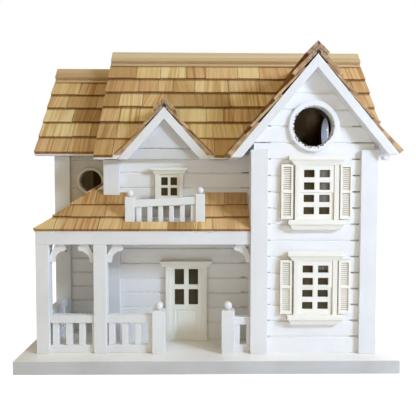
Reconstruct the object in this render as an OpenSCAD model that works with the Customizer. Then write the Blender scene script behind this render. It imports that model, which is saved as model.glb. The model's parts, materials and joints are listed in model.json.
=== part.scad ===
// Painted wooden birdhouse in the shape of a farmhouse with a wrap-around porch.
// Millimetres. +X is right as seen from the front, +Y is back and +Z is up.
// The origin is the middle of the underside of the base board.

/* [Base board] */
// Width of the base board
base_w = 364; // [360:1:390]
// Depth of the base board
base_d = 280; // [276:1:300]
// Thickness of the base board
base_t = 12.7; // [8:0.1:20]

/* [House body] */
// Thickness of the wall boards
wall_t = 8; // [6:0.5:10]
// Width of the tower on the right, wall to wall
tower_w = 117.3; // [112:0.1:122]
// Width of the main front between wing and tower
main_w = 149.7; // [144:0.1:154]
// Width of the set-back wing on the left
wing_w = 61.5; // [56:0.1:64]
// Distance from the front edge of the base to the front of the tower
tower_front = 23.4; // [20:0.1:28]
// Distance from the front edge of the base to the front of the main body
main_front = 65.8; // [60:0.1:72]
// Distance from the front edge of the base to the front of the wing
wing_front = 105.2; // [98:0.1:115]
// Distance from the back wall to the back edge of the base
back_margin = 15; // [15:0.5:20]
// Sideways shift of the house on its base
house_shift = -2.05; // [-4:0.05:1]
// Height of one siding board
siding = 15.85; // [12:0.05:20]
// Width of the groove between siding boards
groove_w = 1.7; // [1:0.1:3]
// Depth of the groove between siding boards
groove_t = 1.6; // [0.8:0.1:2.5]

// Glue line between boards that belong to one set
glue = 0.05; // [0.05:0.05:0.2]

/* [Corner boards] */
// Visible width of a front corner board
corner_w = 16.8; // [12:0.1:20]
// Thickness of a front corner board
corner_t = 4; // [3:0.1:5]
// Thickness of a side corner board
corner_side_t = 3; // [2:0.1:4]
// Height of the tower's corner boards above the table
corner_top = 212; // [205:1:214]

/* [Roofs] */
// Thickness of the roof boards
deck_t = 8; // [6:0.5:9]
// Pitch of the main and wing roofs in degrees
main_pitch = 47.75; // [46:0.25:49]
// Height at which the main roof board meets the front wall
main_plate = 209.1; // [205:0.1:214]
// Height at which the wing roof board meets its front wall
wing_plate = 214.7; // [211:0.1:218]
// Eave overhang of the main and wing roofs at the front
eave_over = 14; // [10:0.1:15]
// Eave overhang of the main and wing roofs at the rear
rear_over = 12; // [9:0.1:12]
// Blunt edge left at the level-cut eaves
eave_nose = 1.8; // [1:0.1:3]
// Overhang of the main roof past its left gable wall
main_rake_left = 10.7; // [6:0.1:14]
// Overhang of the main roof past the right wall
main_rake_right = 25.8; // [22:0.1:28]
// Overhang of the wing roof past the wing's left wall
wing_rake = 21.7; // [12:0.1:24]
// Pitch of the tower roof in degrees
tower_pitch = 50; // [48:0.25:52]
// Height at which the tower roof boards meet its side walls
tower_plate = 219.2; // [217:0.1:222]
// Overhang of the tower roof past its left wall
tower_over_left = 22.6; // [18:0.1:24]
// Overhang of the tower roof past its right wall
tower_over_right = 19.9; // [18:0.1:22]
// Overhang of the tower roof in front of its front wall
tower_over_front = 12; // [8:0.1:14]
// Blunt edge left at the level-cut gable eaves
gable_nose = 0.4; // [0.2:0.1:1]

/* [Dormer] */
// Distance from the left end of the main front to the middle of the dormer
dormer_pos = 60.6; // [56:0.1:66]
// Half the width of the dormer roof at its level cut
dormer_half = 47.5; // [44:0.1:50]
// Pitch of the dormer roof in degrees
dormer_pitch = 48.2; // [47:0.1:49]
// Height of the level cut at the dormer eaves
dormer_cut = 204.4; // [203.9:0.1:206]
// Overhang of the dormer roof in front of the main wall
dormer_over = 12; // [10:0.1:13]
// Thickness of the dormer gable board
dormer_board_t = 6; // [4:0.5:8]

/* [Shingles] */
// Thickness of a shingle's butt above the board it lies on
shingle_butt = 4; // [3:0.1:5]
// Thickness at the upper end of a shingle
shingle_tip = 1; // [0.8:0.1:1.5]
// Length of a shingle hidden under the next course
shingle_lap = 8; // [6:0.5:10]
// Gap between neighbouring shingles
shingle_gap = 0.5; // [0.3:0.1:1]
// Clearance between lapping shingles
shingle_rest = 0.15; // [0.1:0.05:0.3]
// Narrowest shingle
shingle_min = 17; // [10:1:20]
// Widest shingle
shingle_max = 44; // [24:1:46]
// Most that a shingle slips up or down from its course
shingle_slip = 0.6; // [0:0.1:0.9]
// Thickness of a cross gable shingle's butt above the board it lies on
gable_butt = 5.4; // [4:0.1:6]
// Thickness at the upper end of a cross gable shingle
gable_tip = 1.8; // [1:0.1:2.5]
// Exposure of the courses on the main roof
main_exposure = 25.5; // [22:0.1:28]
// Exposure of the courses on the wing roof
wing_exposure = 24.6; // [22:0.1:28]
// Exposure of the courses on the tower roof
tower_exposure = 33.7; // [30:0.1:36]
// Distance down the tower roof that the course at the ridge covers
tower_top_course = 30; // [26:0.5:34]
// Distance down the dormer roof that the course at the ridge covers
dormer_top_course = 35.5; // [30:0.5:38]
// Thickness of the course at the tower ridge
tower_top_t = 4.4; // [3:0.1:5]
// Thickness of the course at the dormer ridge
dormer_top_t = 2.6; // [2:0.1:3.5]
// Distance down the tower roof that the ridge strips reach
tower_strip = 6.3; // [4:0.1:12]
// Distance down the dormer roof that the ridge strips reach
dormer_strip = 9; // [6:0.1:12]
// Exposure of the courses on the porch roof
porch_exposure = 18.2; // [15:0.1:22]
// Thickness of the butts on the porch roof
porch_butt = 3.2; // [2.6:0.1:4]

/* [Ridge caps] */
// Distance down the slope that the lower cap strip covers
cap_lip = 17.5; // [14:0.1:22]
// Distance down the slope that the upper cap covers
cap_w = 14; // [11:0.1:17]
// Thickness of the lower cap strip
cap_lip_t = 2.2; // [1.5:0.1:3]
// Thickness of the upper cap
cap_t = 4.2; // [3:0.1:6]
// Radius of the rounded top of the cap
cap_r = 9; // [6:0.1:12]

/* [Porch] */
// Section of the porch posts and beams
post_w = 12.7; // [10:0.1:16]
// Distance from the left edge of the base to the porch corner post
porch_side_margin = 15.5; // [14:0.1:19]
// Distance from the front edge of the base to the porch posts
porch_front_margin = 22; // [18:0.1:24]
// Height of the underside of the porch beam
beam_z = 120; // [112:0.5:126]
// Height of the porch beam
beam_h = 12; // [10:0.1:14]
// Distance between the corner post and the middle post
post_pitch = 55.7; // [50:0.1:60]
// Pitch of the porch roof in degrees
porch_pitch = 38.6; // [36:0.1:40]
// Thickness of the porch roof boards
porch_deck_t = 6; // [4:0.5:8]
// Blunt edge of the porch eave
porch_nose = 1; // [0.5:0.1:2]

/* [Balcony] */
// Distance from the left end of the main front to the middle of the balcony
balcony_pos = 63.2; // [58:0.1:70]
// Width of the balcony over its posts
balcony_w = 78.6; // [70:0.1:84]
// Distance from the porch eave to the front of the balcony
balcony_set = 7.7; // [6:0.1:14]
// Height of the balcony floor
balcony_floor = 139; // [138.5:0.1:140]
// Thickness of the balcony floor
balcony_floor_t = 3; // [2:0.1:4]
// Section of the balcony posts
balcony_post_w = 9.4; // [8:0.1:12]
// Height of the balcony posts
balcony_post_h = 28.8; // [24:0.1:32]
// How much the right balcony post is taller than that, and the left one shorter
balcony_rise = 1.6; // [0:0.1:2]
// Height of the middle of the balcony handrail above the floor
balcony_rail_z = 22; // [18:0.1:24]
// Height of the balcony handrail
balcony_rail_h = 7.3; // [5:0.1:8]
// Width of a balcony baluster
balcony_baluster = 4.7; // [3:0.1:6]

/* [Railings] */
// Height of the top of the handrail above the base
rail_top = 37.4; // [32:0.1:44]
// Height of the handrail
handrail_h = 7.5; // [5:0.1:9]
// Depth of the handrail
handrail_d = 9; // [7:0.1:11]
// Height of the bottom rail
bottom_rail_h = 7.7; // [5:0.1:9]
// Width and depth of a baluster
baluster = 6.3; // [4:0.1:7]
// Distance between balusters
baluster_pitch = 12.9; // [11:0.1:16]
// Height of the newel posts above the base
newel_h = 42.8; // [39:0.1:50]
// Distance from the middle of the door to the left newel post
newel_left = 25.9; // [24:0.1:30]
// Distance from the middle of the door to the right newel post
newel_right = 41.8; // [38:0.1:46]
// Radius of the newel balls
newel_ball_r = 4.2; // [3:0.1:5]
// Radius of the balcony balls
balcony_ball_r = 3.4; // [2.5:0.1:4]

/* [Brackets] */
// Width of a porch bracket
bracket_w = 15.6; // [13:0.1:18]
// Height of a porch bracket
bracket_h = 18; // [16:0.1:22]
// Thickness of a porch bracket
bracket_t = 5; // [3:0.1:6]

/* [Entry holes] */
// Diameter of the tower entry hole
entry_d = 38.1; // [32:0.1:42]
// Distance of the tower entry hole left of the middle of the tower
entry_off = 1; // [0:0.1:2]
// Height of the tower entry hole
entry_z = 234.8; // [230:0.1:238]
// Diameter of the wing entry hole
wing_entry_d = 24; // [20:0.5:26]
// Distance from the left end of the wing to the middle of its entry hole
wing_entry_pos = 36.5; // [34:0.1:38]
// Height of the wing entry hole
wing_entry_z = 181.7; // [180:0.1:186]
// Width of the raised ring round the tower hole
ring_w = 5.7; // [4:0.1:7]
// Width of the raised ring round the wing hole
wing_ring_w = 3.5; // [3:0.1:5]
// Distance of the right wall's entry hole behind the main ridge
side_entry_back = 26.6; // [20:0.1:30]
// Distance of the right wall's entry hole below the main ridge
side_entry_drop = 74.2; // [70:0.1:84]
// How far the rings stand proud of the wall
ring_t = 3; // [2:0.1:4]

/* [Nest chambers] */
// Height of the top of the tower's nest floor
nest_floor_z = 113; // [104:1:114]
// Thickness of the nest floor
nest_floor_t = 6; // [4:0.5:8]
// Section of the cleats under the nest floor
cleat = 8; // [6:0.5:10]
// Width of the passage between wing and main chamber
passage_w = 60; // [40:1:70]
// Height of the passage between wing and main chamber
passage_h = 100; // [70:1:110]
// Diameter of the clean-out holes
cleanout_d = 34; // [30:1:35]
// Distance of the tower clean-out left of the middle of the tower
cleanout_off = 11; // [8:0.5:14]
// Height of the tower clean-out hole
tower_cleanout_z = 132.5; // [132:0.5:134]
// Height of the main clean-out hole
main_cleanout_z = 40; // [40:1:70]
// How far a clean-out cover laps past its hole
cover_lap = 8.5; // [8.5:0.1:9]
// Thickness of the clean-out covers
cover_t = 5; // [3:0.5:6]
// Diameter of the pivot screws
screw_d = 3.2; // [2.5:0.1:4]
// Diameter of the drain holes in the base
drain_d = 6; // [4:0.5:8]

/* [Windows and doors] */
// Width of a tower window frame
window_w = 42.6; // [36:0.1:44]
// Height of a tower window between sill and crown
window_h = 53; // [48:0.1:56]
// Height of the underside of the upper window's opening
upper_window_z = 144.4; // [142:0.1:147]
// Height of the underside of the lower window's opening
lower_window_z = 51.5; // [45:0.1:56]
// Shift of the upper window from the middle of the tower
upper_window_off = 2.2; // [0:0.1:3]
// Shift of the lower window from the middle of the tower
lower_window_off = 1.8; // [0:0.1:3]
// Width of a window jamb
jamb_w = 4.6; // [3.5:0.1:6]
// How far the window frames stand proud of the wall
frame_t = 4.2; // [3:0.1:5]
// Width of the glazing bars
bar_w = 5.2; // [3.5:0.1:6]
// Thickness of the glazing behind the sashes
pane_t = 0.8; // [0.5:0.1:1.2]
// Width of a shutter
shutter_w = 11.6; // [10:0.1:13.5]
// Thickness of a shutter
shutter_t = 3.2; // [2:0.1:4]
// Gap between a shutter and its window frame
shutter_gap = 1.6; // [1:0.1:4]
// Number of slats in each half of a shutter
slats = 11; // [6:1:13]
// Width of the door casing
door_w = 43.6; // [38:0.1:50]
// Height of the door casing
door_h = 78.8; // [70:0.1:86]
// Distance from the left end of the main front to the middle of the door
door_pos = 83.3; // [76:0.1:90]
// Distance from the left end of the main front to the middle of the small upper window
attic_window_pos = 65.3; // [60:0.1:70]
// Width of the small upper window
attic_window_w = 29; // [25:0.1:33]
// Height of the small upper window
attic_window_h = 29.8; // [28:0.1:34]
// Height of the underside of the small upper window
attic_window_z = 158.7; // [156:0.1:160]

/* [Hidden] */
$fn = 48;
BIG = 600;

// Outer faces of the walls
back_y = base_d / 2 - back_margin;
tower_y = tower_front - base_d / 2;
main_y = main_front - base_d / 2;
wing_y = wing_front - base_d / 2;
main_d = back_y - main_y;
wing_d = back_y - wing_y;
wing_x = -(wing_w + main_w + tower_w) / 2 + house_shift;
main_x = wing_x + wing_w;
tower_x = main_x + main_w;
right_x = tower_x + tower_w;
tower_mid = tower_x + tower_w / 2;
inner_back = back_y - wall_t;

// Roof planes
deck_v = deck_t / cos(main_pitch);
main_mid = (main_y + back_y) / 2;
main_half = main_d / 2;
main_ridge = main_plate + main_half * tan(main_pitch);
wing_mid = (wing_y + back_y) / 2;
wing_half = wing_d / 2;
wing_ridge = wing_plate + wing_half * tan(main_pitch);
main_rake_x = main_x - main_rake_left;
main_end_x = right_x + main_rake_right;
wing_rake_x = wing_x - wing_rake;
main_run = main_half + eave_over;
wing_run = wing_half + eave_over;
main_eave_z = main_plate + deck_v - eave_over * tan(main_pitch);
wing_eave_z = wing_plate + deck_v - eave_over * tan(main_pitch);
main_run_rear = main_half + rear_over;
wing_run_rear = wing_half + rear_over;
rear_rise = (eave_over - rear_over) * tan(main_pitch);
tower_deck_v = deck_t / cos(tower_pitch);
tower_ridge = tower_plate + tower_w / 2 * tan(tower_pitch);
tower_roof_y = tower_y - tower_over_front;
tower_reach = [tower_w / 2 + tower_over_left, tower_w / 2 + tower_over_right];
dormer_mid = main_x + dormer_pos;
dormer_top = dormer_cut + dormer_half * tan(dormer_pitch);
dormer_ridge = dormer_top - deck_t / cos(dormer_pitch);
dormer_y = main_y - dormer_over;
shingle_top = shingle_butt + 0.5;
gable_top = gable_butt + 0.5;

// Porch
porch_x = -base_w / 2 + porch_side_margin;
porch_y = -base_d / 2 + porch_front_margin;
porch_eave_z = beam_z + beam_h + porch_nose;
porch_eave = 0.4;
porch_end_x = tower_x - corner_side_t;
porch_mid_y = porch_y + post_w / 2;
porch_mid_x = porch_x + post_w / 2;
balcony_x = main_x + balcony_pos;
balcony_y = porch_y - porch_eave + balcony_set;
door_x = main_x + door_pos;
attic_window_x = main_x + attic_window_pos;
newel_x = door_x - newel_left;
newel_x2 = door_x + newel_right;

// Entry and clean-out places
side_entry_y = main_mid + side_entry_back;
side_entry_z = main_ridge - side_entry_drop;
entry_x = tower_mid - entry_off;
wing_entry_x = wing_x + wing_entry_pos;
tower_cleanout_x = tower_mid - cleanout_off;
main_cleanout_x = (main_x + tower_x) / 2;
cover_r = cleanout_d / 2 + cover_lap;
pivot_up = cover_r - 4;
cover_gap = 0.3;
screw_reach = 6;

// ---------- Helpers ----------

// A box given by its lowest and highest corners
module span(a, b) {
    translate(a) cube(b - a);
}

// Profile in Y and Z, extruded along X from x0 to x1
module along_x(x0, x1) {
    translate([x0, 0, 0]) rotate([90, 0, 90]) linear_extrude(x1 - x0) children();
}

// Profile in X and Z, extruded along Y from y0 to y1
module along_y(y0, y1) {
    translate([0, y1, 0]) rotate([90, 0, 0]) linear_extrude(y1 - y0) children();
}

// Everything under an inverted V whose underside has its ridge at (mid, ridge)
module under_v(mid, ridge, pitch) {
    translate([mid, ridge])
        polygon([[0, 0], [BIG, -BIG * tan(pitch)], [-BIG, -BIG * tan(pitch)]]);
}

module under_main(x0, x1) {
    along_x(x0, x1) under_v(main_mid, main_ridge, main_pitch);
}

module under_wing(x0, x1) {
    along_x(x0, x1) under_v(wing_mid, wing_ridge, main_pitch);
}

module under_tower(y0, y1) {
    along_y(y0, y1) under_v(tower_mid, tower_ridge, tower_pitch);
}

// The room taken by a cross gable and everything under it, raised by lift over its boards
module gable_room(mid, ridge, pitch, reach, lift) {
    intersection() {
        along_y(-BIG, main_mid) under_v(mid, ridge + (deck_t + lift) / cos(pitch), pitch);
        span([mid - reach[0] - lift * sin(pitch), -BIG, 0],
            [mid + reach[1] + lift * sin(pitch), BIG, BIG]);
    }
}

module tower_room(lift) {
    gable_room(tower_mid, tower_ridge, tower_pitch, tower_reach, lift);
}

module dormer_room(lift) {
    gable_room(dormer_mid, dormer_ridge, dormer_pitch, [dormer_half, dormer_half], lift);
}

// Everything under the top of the main roof boards, raised by lift
module main_room(lift) {
    along_x(-BIG, BIG) under_v(main_mid, main_ridge + (deck_t + lift) / cos(main_pitch), main_pitch);
}

// Everything above the underside of the main roof, from its left edge on
module over_main(clear) {
    difference() {
        span([main_rake_x - clear, -BIG, 0], [BIG, BIG, BIG]);
        along_x(-BIG, BIG) under_v(main_mid, main_ridge - clear / cos(main_pitch), main_pitch);
    }
}

// Siding grooves on a front or back face
module grooves_x(x0, x1, y, start, top) {
    for (z = [start + siding : siding : top])
        span([x0 - 1, y - groove_t, z - groove_w / 2], [x1 + 1, y + groove_t, z + groove_w / 2]);
}

// Siding grooves on a side face
module grooves_y(y0, y1, x, start, top) {
    for (z = [start + siding : siding : top])
        span([x - groove_t, y0 - 1, z - groove_w / 2], [x + groove_t, y1 + 1, z + groove_w / 2]);
}

// Moves to an eave: local X runs along it, Y up the slope and Z out of the roof
module on_slope(eave, turn, pitch) {
    translate(eave) rotate([0, 0, turn]) rotate([pitch, 0, 0]) children();
}

// ---------- Base and walls ----------

main_siding = base_t + 3.2;
wing_siding = base_t + 2.6;

module base_board() {
    color("gainsboro") difference() {
        span([-base_w / 2, -base_d / 2, 0], [base_w / 2, base_d / 2, base_t]);
        for (across = [0.3, 0.8], back = [0.32, 0.73])
            translate([main_x + across * main_w, main_y + back * main_d, -1])
                cylinder(d = drain_d, h = base_t + 2);
    }
}

module tower_front_wall() {
    color("white") difference() {
        intersection() {
            span([tower_x, tower_y, base_t], [right_x, tower_y + wall_t, BIG]);
            under_tower(tower_y - 1, tower_y + wall_t + 1);
        }
        grooves_x(tower_x, right_x, tower_y, base_t, tower_ridge - 8);
        translate([entry_x, tower_y - 1, entry_z])
            rotate([-90, 0, 0]) cylinder(d = entry_d, h = wall_t + 2);
    }
}

// Side boards of the tower, which reach up to the tower roof and the main roof
module tower_side(x) {
    intersection() {
        span([x, tower_y + wall_t, base_t], [x + wall_t, inner_back, BIG]);
        union() {
            under_tower(tower_y, main_mid);
            under_main(x - 1, x + wall_t + 1);
        }
    }
}

module tower_left_wall() {
    color("white") difference() {
        tower_side(tower_x);
        grooves_y(tower_y + wall_t, main_y - 1, tower_x, base_t, corner_top);
    }
}

module right_wall() {
    color("white") difference() {
        tower_side(right_x - wall_t);
        grooves_y(tower_y, back_y, right_x, base_t, main_ridge - 12);
        translate([right_x - wall_t - 1, side_entry_y, side_entry_z])
            rotate([0, 90, 0]) cylinder(d = entry_d, h = wall_t + 2);
    }
}

module main_front_wall() {
    color("white") difference() {
        intersection() {
            span([main_x, main_y, base_t], [tower_x, main_y + wall_t, BIG]);
            under_main(main_x - 1, tower_x + 1);
        }
        grooves_x(main_x, tower_x, main_y, main_siding, main_plate - 4);
    }
}

module main_left_wall() {
    color("white") difference() {
        intersection() {
            span([main_x, main_y + wall_t, base_t], [main_x + wall_t, inner_back, BIG]);
            under_main(main_x - 1, main_x + wall_t + 1);
        }
        grooves_y(main_y + wall_t, wing_y - 1, main_x, main_siding, main_ridge);
        span([main_x - 1, wing_mid - passage_w / 2, base_t - 1],
            [main_x + wall_t + 1, wing_mid + passage_w / 2, base_t + passage_h]);
    }
}

module wing_front_wall() {
    color("white") difference() {
        intersection() {
            span([wing_x, wing_y, base_t], [main_x, wing_y + wall_t, BIG]);
            under_wing(wing_x - 1, main_x + 1);
        }
        grooves_x(wing_x, main_x, wing_y, wing_siding, wing_plate - 4);
        translate([wing_entry_x, wing_y - 1, wing_entry_z])
            rotate([-90, 0, 0]) cylinder(d = wing_entry_d, h = wall_t + 2);
    }
}

module wing_left_wall() {
    color("white") difference() {
        intersection() {
            span([wing_x, wing_y + wall_t, base_t], [wing_x + wall_t, inner_back, BIG]);
            under_wing(wing_x - 1, wing_x + wall_t + 1);
        }
        grooves_y(wing_y, back_y, wing_x, wing_siding, wing_ridge - 12);
    }
}

module back_wall() {
    color("white") difference() {
        intersection() {
            span([wing_x, inner_back, base_t], [right_x, back_y, BIG]);
            union() {
                under_wing(wing_x - 1, main_rake_x);
                under_main(main_rake_x, right_x + 1);
            }
        }
        grooves_x(wing_x, right_x, back_y, base_t, main_plate - 4);
        for (hole = [[tower_cleanout_x, tower_cleanout_z], [main_cleanout_x, main_cleanout_z]]) {
            translate([hole[0], inner_back - 1, hole[1]])
                rotate([-90, 0, 0]) cylinder(d = cleanout_d, h = wall_t + 2);
            translate([hole[0], back_y - screw_reach - 0.5, hole[1] + pivot_up])
                rotate([-90, 0, 0]) cylinder(d = screw_d + 0.1, h = screw_reach + 1);
        }
    }
}

module tower_nest_floor() {
    color("burlywood") span(
        [tower_x + wall_t, tower_y + wall_t, nest_floor_z - nest_floor_t],
        [right_x - wall_t, inner_back, nest_floor_z]);
}

module nest_floor_cleats() {
    top = nest_floor_z - nest_floor_t;
    color("burlywood") {
        span([tower_x + wall_t, tower_y + wall_t + 20, top - cleat],
            [tower_x + wall_t + cleat, inner_back - 20, top]);
        span([right_x - wall_t - cleat, tower_y + wall_t + 20, top - cleat],
            [right_x - wall_t, inner_back - 20, top]);
    }
}

module dormer_face() {
    color("white") difference() {
        intersection() {
            span([dormer_mid - dormer_half, main_y - dormer_board_t, dormer_cut],
                [dormer_mid + dormer_half, main_y, BIG]);
            along_y(dormer_y, main_y + 1) under_v(dormer_mid, dormer_ridge, dormer_pitch);
        }
        grooves_x(dormer_mid - dormer_half, dormer_mid + dormer_half,
            main_y - dormer_board_t, dormer_cut + 10.6 - siding, dormer_cut + 11);
    }
}

// ---------- Corner boards ----------

// Two boards on a corner: side is -1 for a left corner and 1 for a right one
module corner_pair(x, y, side, facing, top) {
    edge = x + side * corner_side_t;
    mirror_x = side < 0 ? edge : edge - corner_w;
    front = facing < 0 ? y - corner_t : y;
    span([mirror_x, front, base_t], [mirror_x + corner_w, front + corner_t, top]);
    inner = side < 0 ? x - corner_side_t : x;
    span([inner, facing < 0 ? y + glue : y - corner_w, base_t],
        [inner + corner_side_t, facing < 0 ? y + corner_w : y - glue, top]);
}

module tower_corner_boards() {
    color("white") {
        corner_pair(tower_x, tower_y, -1, -1, corner_top);
        corner_pair(right_x, tower_y, 1, -1, corner_top);
    }
}

main_corner_top = main_eave_z - eave_nose;
wing_corner_top = wing_eave_z - eave_nose;

module main_corner_boards() {
    color("white") corner_pair(main_x, main_y, -1, -1, main_corner_top);
}

module wing_corner_boards() {
    color("white") corner_pair(wing_x, wing_y, -1, -1, wing_corner_top);
}

module rear_corner_boards() {
    color("white") {
        corner_pair(wing_x, back_y, -1, 1, wing_corner_top + rear_rise);
        corner_pair(right_x, back_y, 1, 1, main_corner_top + rear_rise);
    }
}

// ---------- Roof boards ----------

// One board of a gable roof in section: side is -1 or 1 from the ridge
module deck_section(mid, ridge, pitch, thick, side, run, nose) {
    rise = thick / cos(pitch);
    eave = ridge + rise - run * tan(pitch);
    cut = eave - nose;
    translate([mid, 0]) polygon([
        [0, ridge], [0, ridge + rise], [side * run, eave], [side * run, cut],
        [side * (ridge - cut) / tan(pitch), cut],
    ]);
}

module main_deck_board(side) {
    along_x(main_rake_x, main_end_x)
        deck_section(main_mid, main_ridge, main_pitch, deck_t, side,
            side < 0 ? main_run : main_run_rear, eave_nose);
}

module wing_deck_board(side, x1) {
    along_x(wing_rake_x, x1)
        deck_section(wing_mid, wing_ridge, main_pitch, deck_t, side,
            side < 0 ? wing_run : wing_run_rear, eave_nose);
}

module main_front_deck() {
    color("white") difference() {
        main_deck_board(-1);
        tower_room(0);
        dormer_room(0);
    }
}

module main_back_deck() {
    color("white") main_deck_board(1);
}

// The wing roof stops where the main roof and its overhang begin
module wing_roof_room() {
    span([-BIG, -BIG, 0], [main_rake_x, BIG, BIG]);
    under_main(main_rake_x - 1, main_x);
}

module wing_front_deck() {
    color("white") intersection() {
        wing_deck_board(-1, main_x);
        wing_roof_room();
    }
}

module wing_back_deck() {
    color("white") wing_deck_board(1, main_rake_x);
}

// A tower roof board runs back until it meets the main roof board
module tower_deck_board(side) {
    difference() {
        along_y(tower_roof_y, main_mid)
            deck_section(tower_mid, tower_ridge, tower_pitch, deck_t, side,
                tower_reach[side < 0 ? 0 : 1], gable_nose);
        under_main(-BIG, BIG);
    }
}

module tower_left_deck() {
    color("white") tower_deck_board(-1);
}

module tower_right_deck() {
    color("white") tower_deck_board(1);
}

module dormer_deck_board(side) {
    difference() {
        along_y(dormer_y, main_mid)
            deck_section(dormer_mid, dormer_ridge, dormer_pitch, deck_t, side, dormer_half, gable_nose);
        under_main(-BIG, BIG);
    }
}

module dormer_left_deck() {
    color("white") dormer_deck_board(-1);
}

module dormer_right_deck() {
    color("white") dormer_deck_board(1);
}

// ---------- Porch roof ----------

porch_eave_x = porch_x - porch_eave;
porch_eave_y = porch_y - porch_eave;
porch_hip = 0.05;

// Keeps the part of a porch slope on its own side of the 45 degree hip
module hip_side(front) {
    translate([porch_eave_x, porch_eave_y, 0]) linear_extrude(BIG) polygon(front
        ? [[porch_hip - 9, -9], [BIG, -9], [BIG, BIG - porch_hip]]
        : [[-9, porch_hip - 9], [-9, BIG], [BIG - porch_hip, BIG]]);
}

// The walls and corner boards that the porch roof is fitted round
module porch_walls(clear) {
    span([main_x - clear, main_y - clear, 0], [BIG, BIG, BIG]);
    span([tower_x - corner_side_t - clear, -BIG, 0], [BIG, tower_y + corner_w + clear, BIG]);
    span([tower_x - clear, -BIG, 0], [BIG, BIG, BIG]);
    span([-BIG, wing_y - clear, 0], [BIG, BIG, BIG]);
    span([-BIG, wing_y - corner_t - clear, 0],
        [wing_x - corner_side_t + corner_w + clear, BIG, BIG]);
    span([main_x - corner_side_t - clear, main_y - corner_t - clear, 0],
        [main_x - corner_side_t + corner_w + clear, main_y + corner_w + clear, BIG]);
    translate([wing_entry_x, wing_y, wing_entry_z]) rotate([90, 0, 0])
        cylinder(r = wing_entry_d / 2 + wing_ring_w + 0.3, h = ring_t + 0.8);
}

// Room for the balcony, cut out of the front slope
module balcony_room(clear) {
    span([balcony_x - balcony_w / 2 - clear, balcony_y - clear, balcony_floor - balcony_floor_t],
        [balcony_x + balcony_w / 2 + clear, main_y + 1, BIG]);
}

module porch_section(thick) {
    rise = thick / cos(porch_pitch);
    back = 2 * (main_y - porch_eave_y);
    cut = beam_z + beam_h;
    polygon([
        [0, cut], [0, porch_eave_z], [back, porch_eave_z + back * tan(porch_pitch)],
        [back, porch_eave_z - rise + back * tan(porch_pitch)],
        [(rise - porch_nose) / tan(porch_pitch), cut],
    ]);
}

module porch_front_deck() {
    color("white") difference() {
        intersection() {
            translate([0, porch_eave_y, 0]) along_x(porch_eave_x, tower_x) porch_section(porch_deck_t);
            hip_side(true);
        }
        porch_walls(0.02);
        balcony_room(0.02);
        span([-BIG, main_y + corner_w, 0], [BIG, BIG, BIG]);
    }
}

module porch_side_deck() {
    color("white") difference() {
        intersection() {
            translate([porch_eave_x, 0, 0]) along_y(porch_eave_y, wing_y) porch_section(porch_deck_t);
            hip_side(false);
        }
        porch_walls(0.02);
    }
}

// ---------- Shingles ----------

// Places along a course where one shingle ends and the next begins
function joints(u, u1, seed) =
    let (w = rands(shingle_min, shingle_max, 1, seed)[0])
    u + w > u1 - shingle_min ? [u, u1] : concat([u], joints(u + w, u1, seed + 1));

// Height of a shingle's top, at the distance up from its butt where the next one lies
function tail(butt, exposure, tip = shingle_tip) =
    butt - (butt - tip) * exposure / (exposure + shingle_lap);

// One shingle in section: butts of upper courses rest on the course below
module shingle_section(butt, exposure, first, tip = shingle_tip) {
    reach = exposure + shingle_lap;
    under = first ? 0 : tail(butt, exposure, tip) + shingle_rest;
    polygon([[0, under], [0, butt], [reach, tip], [reach, 0]]);
}

// A flat shingle at the ridge of a gable, cut plumb where the two sides meet. Its section
// is between low and high at its butt and between under and top at the ridge.
module ridge_shingle_section(cover, low, high, under, top, pitch) {
    mitre = 0.05;
    polygon([
        [-cover, low], [-cover, high],
        [top * tan(pitch) - mitre, top], [under * tan(pitch) - mitre, under],
    ]);
}

// A slope is [a point on its eave, its turn, its pitch]. The course runs from u0 to u1
// along the eave, and what it is fitted round comes as the second child.
module course(slope, u0, u1, s, slip, seed) {
    us = joints(u0, u1, seed);
    slips = rands(-slip, slip, len(us), seed + 50);
    for (i = [0 : len(us) - 2])
        difference() {
            on_slope(slope[0], slope[1], slope[2])
                translate([0, s + slips[i], 0])
                    along_x(us[i] + shingle_gap / 2, us[i + 1] - shingle_gap / 2) children(0);
            children(1);
        }
}

main_slope_len = main_run / cos(main_pitch);
wing_slope_len = wing_run / cos(main_pitch);
main_courses = round((main_slope_len - cap_lip) / main_exposure);
wing_courses = round((wing_slope_len - cap_lip) / wing_exposure);

// All courses of a slope of the main or wing roof
module plain_roof_courses(slope, u0, u1, courses, exposure, seed) {
    for (i = [0 : courses - 1])
        course(slope, u0, u1, i * exposure, i == 0 ? 0 : shingle_slip, seed + 100 * i) {
            shingle_section(shingle_butt, exposure, i == 0);
            children();
        }
}

module main_front_shingles() {
    color("burlywood") plain_roof_courses(
        [[0, main_mid - main_run, main_eave_z], 0, main_pitch],
        main_rake_x, main_end_x, main_courses, main_exposure, 11) {
            gable_room(tower_mid, tower_ridge, tower_pitch, tower_reach + [0, 8], gable_top);
            dormer_room(gable_top);
        }
}

module main_back_shingles() {
    color("burlywood") plain_roof_courses(
        [[0, main_mid + main_run_rear, main_eave_z + rear_rise], 180, main_pitch],
        -main_end_x, -main_rake_x, main_courses, main_exposure, 21);
}

module wing_shingles() {
    color("burlywood") {
        plain_roof_courses([[0, wing_mid - wing_run, wing_eave_z], 0, main_pitch],
            wing_rake_x, main_x - 0.3, wing_courses, wing_exposure, 31)
                over_main(0.3);
        plain_roof_courses(
            [[0, wing_mid + wing_run_rear, wing_eave_z + rear_rise], 180, main_pitch],
            -main_rake_x + 0.3, -wing_rake_x, wing_courses, wing_exposure, 41);
    }
}

// Where the main roof boards rise to a height
function main_roof_y(z) = main_mid - (main_ridge + deck_v - z) / tan(main_pitch);

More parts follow.
